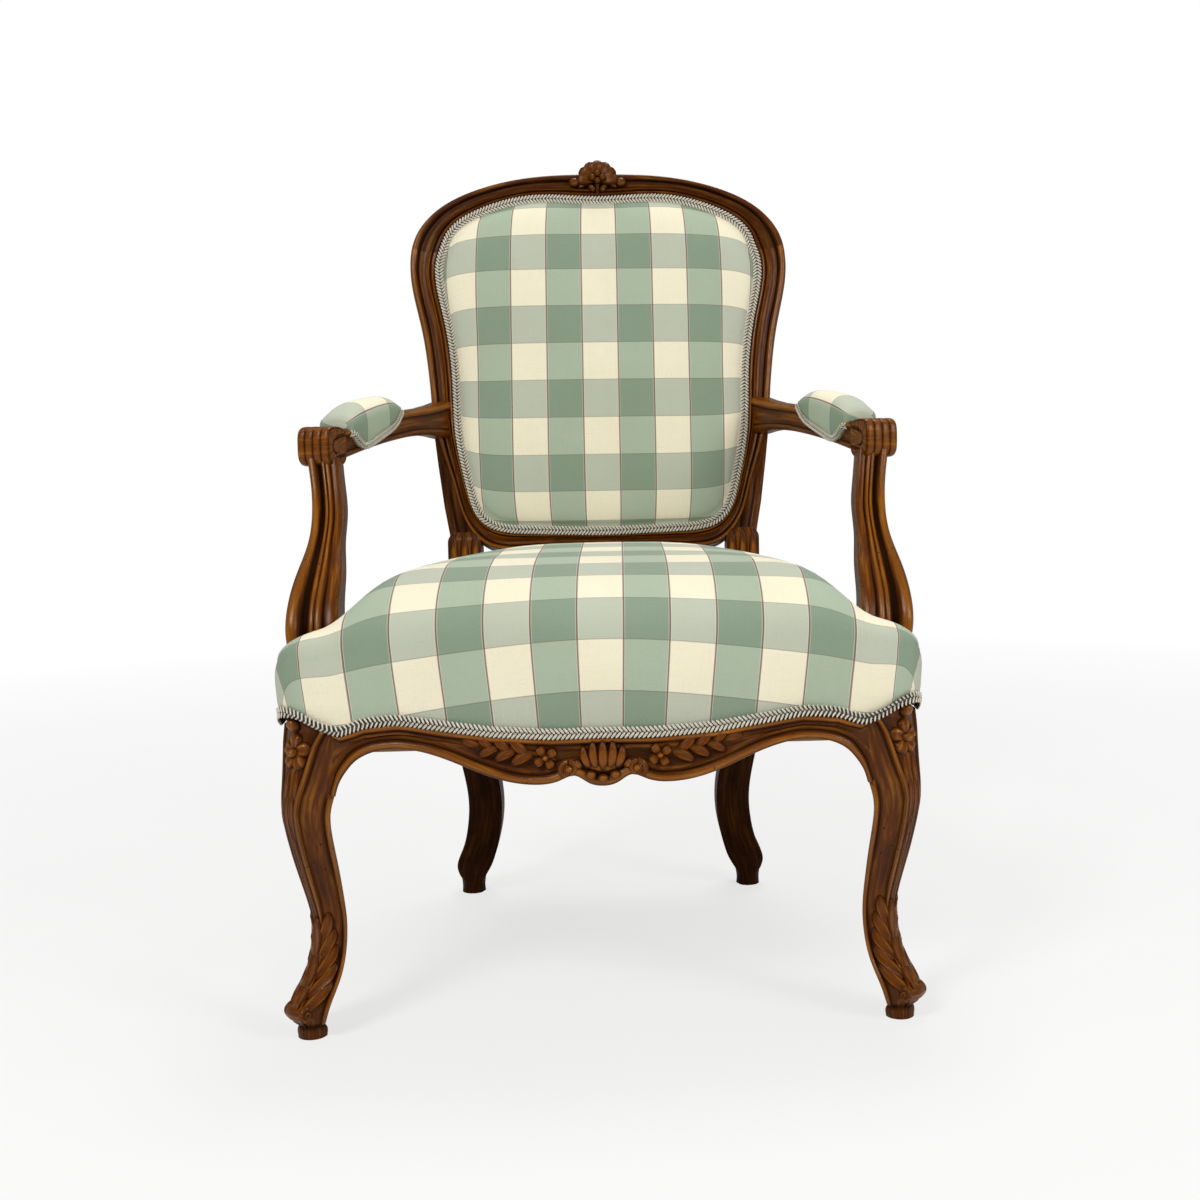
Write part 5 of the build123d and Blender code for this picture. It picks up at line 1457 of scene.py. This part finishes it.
def braid_tree():
    """Loops of cord set along paths, each lying on the face that it trims."""
    if "braid_loops" in bpy.data.node_groups:
        return bpy.data.node_groups["braid_loops"]
    tree = bpy.data.node_groups.new("braid_loops", "GeometryNodeTree")
    socket = tree.interface.new_socket
    socket(name="Geometry", in_out="INPUT", socket_type="NodeSocketGeometry")
    lengths_in = {"Pitch": 0.0044, "Loop Length": 0.0064, "Loop Width": 0.0014, "Cord Radius": 0.0009}
    for label, default in {**lengths_in, "Slant": 0.85}.items():
        socket(name=label, in_out="INPUT", socket_type="NodeSocketFloat").default_value = default
    socket(name="Material", in_out="INPUT", socket_type="NodeSocketMaterial")
    socket(name="Geometry", in_out="OUTPUT", socket_type="NodeSocketGeometry")
    into, out = node(tree, "NodeGroupInput").outputs, node(tree, "NodeGroupOutput")

    def made(kind, inputs=(), **settings):
        return node(tree, kind, inputs, **settings).outputs[0]

    path = made("GeometryNodeMeshToCurve", {0: into["Geometry"]})
    steps = made("GeometryNodeResampleCurve", {"Curve": path, "Length": into["Pitch"]}, mode="LENGTH")
    facing = made("GeometryNodeInputNamedAttribute", {"Name": "facing"}, data_type="FLOAT_VECTOR")
    upright = made("FunctionNodeAlignRotationToVector", {"Vector": facing}, axis="Z")
    along = {"Rotation": upright, "Vector": made("GeometryNodeInputTangent")}
    ahead = made("FunctionNodeAlignRotationToVector", along, axis="X", pivot_axis="Z")
    lean = made("GeometryNodeInputNamedAttribute", {"Name": "lean"}, data_type="FLOAT")
    angle = maths(tree, "MULTIPLY", lean, into["Slant"])
    lean = made("FunctionNodeAxisAngleToRotation", {"Axis": (0, 0, 1), "Angle": angle})
    turned = made("FunctionNodeRotateRotation", {0: ahead, 1: lean}, rotation_space="LOCAL")
    ring = made("GeometryNodeCurvePrimitiveCircle", {"Resolution": 9, "Radius": 0.5})
    size = made("ShaderNodeCombineXYZ", {0: into["Loop Length"], 1: into["Loop Width"], 2: 1.0})
    oval = made("GeometryNodeTransform", {"Geometry": ring, "Scale": size})
    section = made("GeometryNodeCurvePrimitiveCircle", {"Resolution": 4, "Radius": into["Cord Radius"]})
    cord = made("GeometryNodeCurveToMesh", {0: oval, 1: section})
    set_out = {"Points": steps, "Instance": cord, "Rotation": turned}
    loops = made("GeometryNodeInstanceOnPoints", set_out)
    real = made("GeometryNodeRealizeInstances", {0: loops})
    plug(tree, out, {0: made("GeometryNodeSetMaterial", {0: real, "Material": into["Material"]})})
    return tree


# Rows of loops: place across the braid, way that they lean; then their lift and the band under them, a
# dark sheet of painted shade seen between the loops
BRAID_ROWS = ((-0.27, 1.0), (0.27, -1.0))
BRAID_LIFT = 1.3
BRAID_SHARP = 70
# A loop's length as a share of the pitch, its width as a share of the braid
LOOP_LENGTH, LOOP_WIDTH = 1.45, 0.07
BRAID_SHADE_BAND = [(-0.4, 0.0), (-0.4, 0.2), (-0.34, 0.5), (0.34, 0.5), (0.4, 0.2), (0.4, 0.0)]
# Braid off the seat's plan, and where the arm supports and rear posts interrupt it
SEAT_BRAID_OFF = 2.6
SUPPORT_GAP_X, SUPPORT_GAP_Y = 281, (-130, -82)
POST_GAP_X, POST_GAP_Y = POST_X[0] - 6, POST_Y[0] - 4
# Braid of the back: step inside its inner line; height off the face and the way that it faces
BACK_BRAID_IN = 5.6
BACK_BRAIDS = {"back": (-0.6, 1), "outside_back": (-36.4, -1)}
# Braid of an arm pad: its size, how far it stands above the edge, off the sides and off the front
PAD_BRAID_SIZE, PAD_BRAID_UP, PAD_BRAID_OFF, PAD_BRAID_AHEAD = 0.72, 5.5, 0.6, 3.5


def braid_loops(name, points, edges, facing, lean, narrow):
    """Mesh of the loops along the edges of a path, at the size of the braid."""
    mesh = bpy.data.meshes.new(name + "_path")
    mesh.from_pydata((points * MM).tolist(), edges, [])
    point_values(mesh, "facing", facing, "FLOAT_VECTOR")
    point_values(mesh, "lean", lean)
    carrier = bpy.data.objects.new(name + "_path", mesh)
    bpy.context.scene.collection.objects.link(carrier)
    loops = carrier.modifiers.new("loops", "NODES")
    loops.node_group = braid_tree()
    values = {
        "Pitch": sizes().gimp_pitch * narrow,
        "Loop Length": sizes().gimp_pitch * LOOP_LENGTH * narrow,
        "Loop Width": sizes().gimp_width * LOOP_WIDTH * narrow,
        "Cord Radius": sizes().gimp_cord * narrow,
        "Material": braid_cotton(),
    }
    for item in loops.node_group.interface.items_tree:
        if item.in_out == "INPUT" and item.name in values:
            loops[item.identifier] = values[item.name]
    bpy.context.view_layer.update()
    view = bpy.context.evaluated_depsgraph_get()
    made = bpy.data.meshes.new_from_object(carrier.evaluated_get(view))
    carrier.modifiers.remove(loops)
    bpy.data.objects.remove(carrier)
    return made


def braid(name, path, facing, closed, stands_for, narrow=1.0):
    """Flat braid along a path: a band of painted shade under two rows of slanted cords."""
    facing = unit(facing)
    n = len(path)
    ahead = np.roll(path, -1, 0) - np.roll(path, 1, 0) if closed else np.gradient(path, axis=0)
    side = unit(np.cross(facing, unit(ahead)))
    wide = sizes().gimp_width / MM * narrow
    points = np.vstack([path + side * wide * shift + facing * BRAID_LIFT for shift, _ in BRAID_ROWS])
    lean = np.repeat([way for _, way in BRAID_ROWS], n)
    links = [(i, (i + 1) % n) for i in range(n if closed else n - 1)]
    edges = [(row * n + a, row * n + b) for row in range(len(BRAID_ROWS)) for a, b in links]
    made = braid_loops(name, points, edges, np.vstack([facing] * len(BRAID_ROWS)), lean, narrow)
    rings = np.stack([path + side * wide * across + facing * up for across, up in BRAID_SHADE_BAND], axis=1)
    band = Shape().grid(rings, wrap=True, loop=closed, caps=not closed)
    strip = bpy.data.meshes.new(name + "_band")
    strip.from_pydata((np.vstack(band.points) * MM).tolist(), [], band.faces)
    # The whole band carries full painted shade
    point_values(strip, "glaze", np.ones(band.count))
    bm = bmesh.new()
    bm.from_mesh(strip)
    bm.from_mesh(made)
    bm.to_mesh(made)
    bm.free()
    piece = finish_piece(made, name, braid_cotton(), "gimp", BRAID_SHARP)
    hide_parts(stands_for)


class CHAIR_OT_braid(bpy.types.Operator):
    """Looped braid over the edges of the cloth"""

    bl_idname = "chair.braid"
    bl_label = "Braid"

    def execute(self, context):
        self.seat_braid()
        inner = back_inner(BACK_BRAID_IN)
        face = np.tile([0, -cos(BACK_RAKE), sin(BACK_RAKE)], (len(inner), 1))
        for name, (height, way) in BACK_BRAIDS.items():
            path = on_back(inner[:, 0], inner[:, 1], height)
            braid(name + "_braid", path, way * face, True, name + "_gimp")
        for side in SIDES:
            self.pad_braid(side)
        return {"FINISHED"}

    def seat_braid(self):
        """Braid round the seat, in runs between the arm supports and the rear posts."""
        outward = ring_normals(RING)
        line = ring_braid() + sizes().gimp_width / MM / 2
        path = np.column_stack([RING + outward * SEAT_BRAID_OFF, line])
        facing = np.column_stack([outward, np.zeros(len(RING))])
        x, y = np.abs(RING[:, 0]), RING[:, 1]
        blocked = (x > SUPPORT_GAP_X) & (y > SUPPORT_GAP_Y[0]) & (y < SUPPORT_GAP_Y[1])
        blocked |= (x > POST_GAP_X) & (y > POST_GAP_Y)
        order = np.roll(np.arange(len(RING)), -int(np.flatnonzero(blocked)[0]))
        breaks = np.flatnonzero(np.diff(blocked[order].astype(int))) + 1
        runs = [run for run in np.split(order, breaks) if not blocked[run[0]] and len(run) > 4]
        for number, run in enumerate(runs, 1):
            course, face = (even(values[run], len(run) * 2) for values in (path, facing))
            braid(f"seat_braid_{number}", course, face, False, "seat_gimp")

    def pad_braid(self, side):
        """Braid along the lower edge of a pad's flaps and across its front."""
        table = np.array(PAD_SECTIONS[1:-1])
        place = np.linspace(table[0, 0], table[-1, 0], 40)
        half = look_up(table, place)
        low = spline(table[:, [0, 2]] * (100, 1), 200, lead=1)
        low = np.interp(place, low[:, 0] / 100, low[:, 1])
        middle, out = arm_frame(place)
        edge = middle + (low + PAD_BRAID_UP)[:, None] * UP
        outer, inner = (edge + out * (sign * (half + PAD_BRAID_OFF))[:, None] for sign in (1, -1))
        ahead = np.cross(out[-1], UP)
        front = middle[-1] + ahead * PAD_BRAID_AHEAD + UP * (low[-1] + PAD_BRAID_UP)
        path = np.vstack([outer, front[None], inner[::-1]])
        facing = np.vstack([out, ahead[None], -out[::-1]])
        if side == "left":
            path, facing = path * (-1, 1, 1), facing * (-1, 1, 1)
        path, facing = even(path, 130), even(facing, 130)
        braid("arm_pad_braid_" + side, path, facing, False, "arm_pad_gimp_" + side, PAD_BRAID_SIZE)


# Webbing and hessian, parts kept from the solids, and the stage

# Webbing's rib, selvedge and grid as pitch and middle each way, and the hessian's slack
RIB_PITCH, RIB_DEPTH = 8.0, 0.22
SELVEDGE, SELVEDGE_DEPTH = 4.0, 0.3
WEB_GRID = ((80.0, 0.0), (84.0, -24.0))
WEB_EACH_WAY = 2
WEB_CLEAR, WEB_EASE, HESSIAN_SLACK = 25.0, 8.0, 1.3


def islands(part):
    """Points and faces of each separate solid of a CAD node, in metres."""
    whole = bmesh.new()
    whole.from_mesh(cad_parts[part].data)
    bmesh.ops.remove_doubles(whole, verts=whole.verts, dist=WELD)
    whole.verts.index_update()
    whole.faces.index_update()
    waiting = set(whole.verts)
    while waiting:
        queue = [min(waiting, key=lambda v: v.index)]
        waiting -= set(queue)
        faces = set()
        while queue:
            vert = queue.pop()
            faces.update(vert.link_faces)
            near = {e.other_vert(vert) for e in vert.link_edges} & waiting
            waiting -= near
            queue += near
        faces = sorted(faces, key=lambda f: f.index)
        order = {v: i for i, v in enumerate(dict.fromkeys(v for f in faces for v in f.verts))}
        yield [v.co.copy() for v in order], [[order[v] for v in f.verts] for f in faces]
    whole.free()


def cloth_net(part, axes, steps, form):
    """Soft solid cut into a fine net that form then works over: its mesh, cut size and volume."""
    points, faces = [], []
    width, length, volume = 0.0, 0.0, 0.0
    for corners, sides in islands(part):
        net = bmesh.new()
        verts = [net.verts.new(c) for c in corners]
        for side in sides:
            net.faces.new([verts[i] for i in side])
        low, high = np.min(corners, axis=0), np.max(corners, axis=0)
        long, short = sorted(axes, key=lambda a: low[a] - high[a])
        width = max(width, high[short] - low[short])
        length += high[long] - low[long]
        volume += abs(net.calc_volume())
        for axis, step in zip((long, short), steps):
            across = Vector([float(a == axis) for a in range(3)])
            for place in np.arange(low[axis] + step * MM, high[axis], step * MM):
                geometry = net.verts[:] + net.edges[:] + net.faces[:]
                plane = {"plane_co": across * place, "plane_no": across}
                bmesh.ops.bisect_plane(net, geom=geometry, dist=WELD, **plane)
        net.normal_update()
        net.verts.index_update()
        co = np.array([v.co for v in net.verts])
        normal = np.array([v.normal for v in net.verts])
        faces += [[len(points) + v.index for v in f.verts] for f in net.faces]
        points += list(form(co, normal, (low + high) / 2, (high - low) / 2, short))
        net.free()
    mesh = bpy.data.meshes.new(part)
    mesh.from_pydata(points, [], faces)
    return mesh, (width, length), volume


def ribbed(co, normal, middle, half, short):
    """Webbing: thinner at its selvedges and between its warp ribs."""
    off = (co - middle)[:, short] / MM
    rib = 0.5 - 0.5 * np.cos(2 * pi * off / RIB_PITCH)
    edge = np.clip((np.abs(off) - half[short] / MM + SELVEDGE) / SELVEDGE, 0, 1)
    return co - normal * (RIB_DEPTH * rib + SELVEDGE_DEPTH * edge)[:, None] * MM


def slung(co, normal, middle, half, short):
    """Hessian: a little slack in each square that the webbing leaves open."""
    slack = np.ones(len(co))
    for axis, (pitch, centre) in enumerate(WEB_GRID):
        place = np.clip(np.round((co[:, axis] / MM - centre) / pitch), -WEB_EACH_WAY, WEB_EACH_WAY)
        off = np.abs(co[:, axis] / MM - centre - place * pitch)
        slack *= soft_step(off, WEB_CLEAR, WEB_CLEAR + WEB_EASE)
    return co - UP * (slack * HESSIAN_SLACK)[:, None] * MM


# Each soft solid: its piece, the axes it lies on, steps along and across, form, thickness, holder
SOFT_SHEETS = (
    ("seat_webbing", "seat_webbing_woven", (0, 1), (24.0, 2.0), ribbed, 2.0, "side_seat_rail"),
    ("back_webbing", "back_webbing_woven", (0, 2), (32.0, 2.0), ribbed, 1.4, "rear_post"),
    ("seat_hessian", "seat_hessian_slung", (0, 1), (10.0, 10.0), slung, 1.2, "side_seat_rail"),
)
# Plain finishes: two colours, scale and stretch of the figure, roughness, metal, threads
PLAIN_FINISHES = {
    "beech_sawn": ((0.70, 0.54, 0.36), (0.58, 0.42, 0.26), 30.0, (1, 1, 9), 0.65),
    "screw_steel": ((0.52, 0.50, 0.47), (0.30, 0.27, 0.24), 180.0, (1, 1, 1), 0.42, 0.9),
    "blued_tack": ((0.20, 0.20, 0.22), (0.11, 0.10, 0.11), 300.0, (1, 1, 1), 0.45, 0.85),
    "jute_webbing": ((0.62, 0.50, 0.34), (0.46, 0.36, 0.23), 60.0, (1, 1, 1), 0.88, 0.0, 420.0),
    "hessian_cloth": ((0.66, 0.55, 0.38), (0.48, 0.38, 0.25), 90.0, (1, 1, 1), 0.9, 0.0, 620.0),
}
DRESSED = {
    "beech_sawn": ["arm_dowels", "back_frame_dowels"]
    + [f"{end}_corner_block_{side}" for end in ("front", "rear") for side in SIDES],
    "screw_steel": ["corner_block_screws", "arm_support_screws"],
    "blued_tack": ["webbing_tacks"],
}


class CHAIR_OT_inner_parts(bpy.types.Operator):
    """Webbing and hessian, and finishes of the rear rail, blocks and fastenings"""

    bl_idname = "chair.inner_parts"
    bl_label = "Inner parts"

    def execute(self, context):
        finishes = {name: plain_finish(name, *row) for name, row in PLAIN_FINISHES.items()}
        dressed = {part: finishes[name] for name, parts in DRESSED.items() for part in parts}
        dressed["rear_seat_rail"] = walnut("walnut_plain", False)
        for name, material in dressed.items():
            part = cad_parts[name]
            part.data.materials.clear()
            part.data.materials.append(material)
        for part, name, axes, steps, form, thickness, rests in SOFT_SHEETS:
            cloth, slot = ("hessian_cloth", "hessian") if form is slung else ("jute_webbing", "webbing")
            mesh, flat, volume = cloth_net(part, axes, steps, form)
            piece = finish_piece(mesh, name, finishes[cloth], slot)
            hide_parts(part)
        return {"FINISHED"}


# Camera as fitted to the photograph: place in millimetres, then focal length and centre in its pixels
CAMERA_AT = (21.5, -1666.9, 579.8)
CAMERA_YAW, CAMERA_PITCH, CAMERA_ROLL = radians(2.66), radians(4.24), radians(0.94)
CAMERA_FOCAL = 1422.1
CAMERA_CENTRE = (687.0, 561.2)
PICTURE = 1200
SENSOR = 36
CLIP = (0.05, 60)
# Lamps, in metres: place, size, power; then the point that they face, and the floor's half width
LAMPS = {
    "key_light": ((-1.5, -2.3, 2.5), 0.9, 57),
    "fill_light": ((2.1, -1.7, 1.5), 0.9, 28),
    "top_light": ((0.2, 0.7, 2.8), 1.0, 28),
}
LIT_POINT = Vector((0, 0, 0.45))
FLOOR_HALF = 14.0
FLOOR_TONES = [(0.3, (0.80, 0.80, 0.795, 1.0)), (0.7, (0.83, 0.83, 0.825, 1.0))]
FLOOR_FADE = {"From Min": 0.5, "From Max": 3.0, "To Min": 0.7, "To Max": 1.0}
AMBIENT_COLOUR, AMBIENT = (1.0, 0.985, 0.96, 1.0), 0.27


class CHAIR_OT_stage(bpy.types.Operator):
    """Pale floor, soft studio light and the camera"""

    bl_idname = "chair.stage"
    bl_label = "Stage"

    def execute(self, context):
        self.floor()
        self.world(context.scene)
        for name, (place, size, power) in LAMPS.items():
            lamp = bpy.data.lights.new(name, "AREA")
            lamp.energy, lamp.size = power, size
            obj = bpy.data.objects.new(name, lamp)
            context.scene.collection.objects.link(obj)
            obj.location = place
            obj.rotation_euler = (LIT_POINT - Vector(place)).to_track_quat("-Z", "Y").to_euler()
        self.camera(context.scene)
        context.scene.view_settings.view_transform = "Standard"
        return {"FINISHED"}

    def blended(self, tree, share, a, b, ends):
        """Shows a mix of two shaders at the tree's end."""
        blend = node(tree, "ShaderNodeMixShader", {0: share, 1: a.outputs[0], 2: b.outputs[0]})
        plug(tree, tree.nodes[ends], {"Surface": blend.outputs[0]})

    def floor(self):
        mesh = bpy.data.meshes.new("floor")
        corners = [(x * FLOOR_HALF, y * FLOOR_HALF, 0) for x, y in ((-1, -1), (1, -1), (1, 1), (-1, 1))]
        mesh.from_pydata(corners, [], [(0, 1, 2, 3)])
        material, tree, shader = new_material("pale_floor")
        vector = node(tree, "ShaderNodeTexCoord").outputs["Object"]
        tone = ramp(tree, noise(tree, vector, 3.0, 3.0), FLOOR_TONES)
        plug(tree, shader, {"Base Color": tone, "Roughness": 0.9, "Specular IOR Level": 0.1})
        away = node(tree, "ShaderNodeVectorMath", {0: vector}, operation="LENGTH").outputs["Value"]
        fade = node(tree, "ShaderNodeMapRange", {"Value": away, **FLOOR_FADE}).outputs[0]
        seen = maths(tree, "MULTIPLY", fade, node(tree, "ShaderNodeLightPath").outputs["Is Camera Ray"])
        self.blended(tree, seen, shader, node(tree, "ShaderNodeEmission"), "Material Output")
        mesh.materials.append(material)
        obj = bpy.data.objects.new("floor", mesh)
        bpy.context.scene.collection.objects.link(obj)

    def world(self, scene):
        """Soft surround; the camera sees it white."""
        world = bpy.data.worlds.new("studio")
        scene.world = world
        world.use_nodes = True
        tree = world.node_tree
        ambient = tree.nodes["Background"]
        plug(tree, ambient, {"Color": AMBIENT_COLOUR, "Strength": AMBIENT})
        white = node(tree, "ShaderNodeBackground", {"Color": (1, 1, 1, 1)})
        path = node(tree, "ShaderNodeLightPath").outputs
        seen = maths(tree, "MAXIMUM", path["Is Camera Ray"], path["Is Transmission Ray"])
        self.blended(tree, seen, ambient, white, "World Output")

    def camera(self, scene):
        lens = bpy.data.cameras.new("camera")
        camera = bpy.data.objects.new("camera", lens)
        scene.collection.objects.link(camera)
        level = cos(CAMERA_PITCH)
        ahead = Vector((sin(CAMERA_YAW) * level, cos(CAMERA_YAW) * level, -sin(CAMERA_PITCH)))
        right = Vector((cos(CAMERA_YAW), -sin(CAMERA_YAW), 0))
        down = ahead.cross(right)
        across = right * cos(CAMERA_ROLL) + down * sin(CAMERA_ROLL)
        below = down * cos(CAMERA_ROLL) - right * sin(CAMERA_ROLL)
        turn = Matrix((across, -below, -ahead)).transposed()
        camera.matrix_world = Matrix.Translation(Vector(CAMERA_AT) * MM) @ turn.to_4x4()
        lens.sensor_width = SENSOR
        lens.lens = SENSOR * CAMERA_FOCAL / PICTURE
        lens.shift_x = (PICTURE / 2 - CAMERA_CENTRE[0]) / PICTURE
        lens.shift_y = (CAMERA_CENTRE[1] - PICTURE / 2) / PICTURE
        lens.clip_start, lens.clip_end = CLIP
        scene.camera = camera


class CHAIR_PT_panel(bpy.types.Panel):
    """Sizes, colours and steps of the armchair"""

    bl_label = "Open armchair"
    bl_space_type = "VIEW_3D"
    bl_region_type = "UI"
    bl_category = "Armchair"

    def draw(self, context):
        layout = self.layout
        for values in (context.scene.chair_sizes, context.scene.chair_colours):
            for key in values.__annotations__:
                layout.prop(values, key)
        for step in STEPS:
            layout.operator(step.bl_idname)


STEPS = (
    CHAIR_OT_stage,
    CHAIR_OT_back_frame,
    CHAIR_OT_seat_frame,
    CHAIR_OT_front_legs,
    CHAIR_OT_arms,
    CHAIR_OT_seat,
    CHAIR_OT_back,
    CHAIR_OT_arm_pads,
    CHAIR_OT_braid,
    CHAIR_OT_inner_parts,
)
CLASSES = (ChairSizes, ChairColours, *STEPS, CHAIR_PT_panel)


def register():
    for item in CLASSES:
        bpy.utils.register_class(item)
    bpy.types.Scene.chair_sizes = PointerProperty(type=ChairSizes)
    bpy.types.Scene.chair_colours = PointerProperty(type=ChairColours)


def unregister():
    del bpy.types.Scene.chair_colours
    del bpy.types.Scene.chair_sizes
    for item in reversed(CLASSES):
        bpy.utils.unregister_class(item)


def main():
    register()
    for step in STEPS:
        group_name, call = step.bl_idname.split(".")
        getattr(getattr(bpy.ops, group_name), call)()


if __name__ == "__main__":
    main()
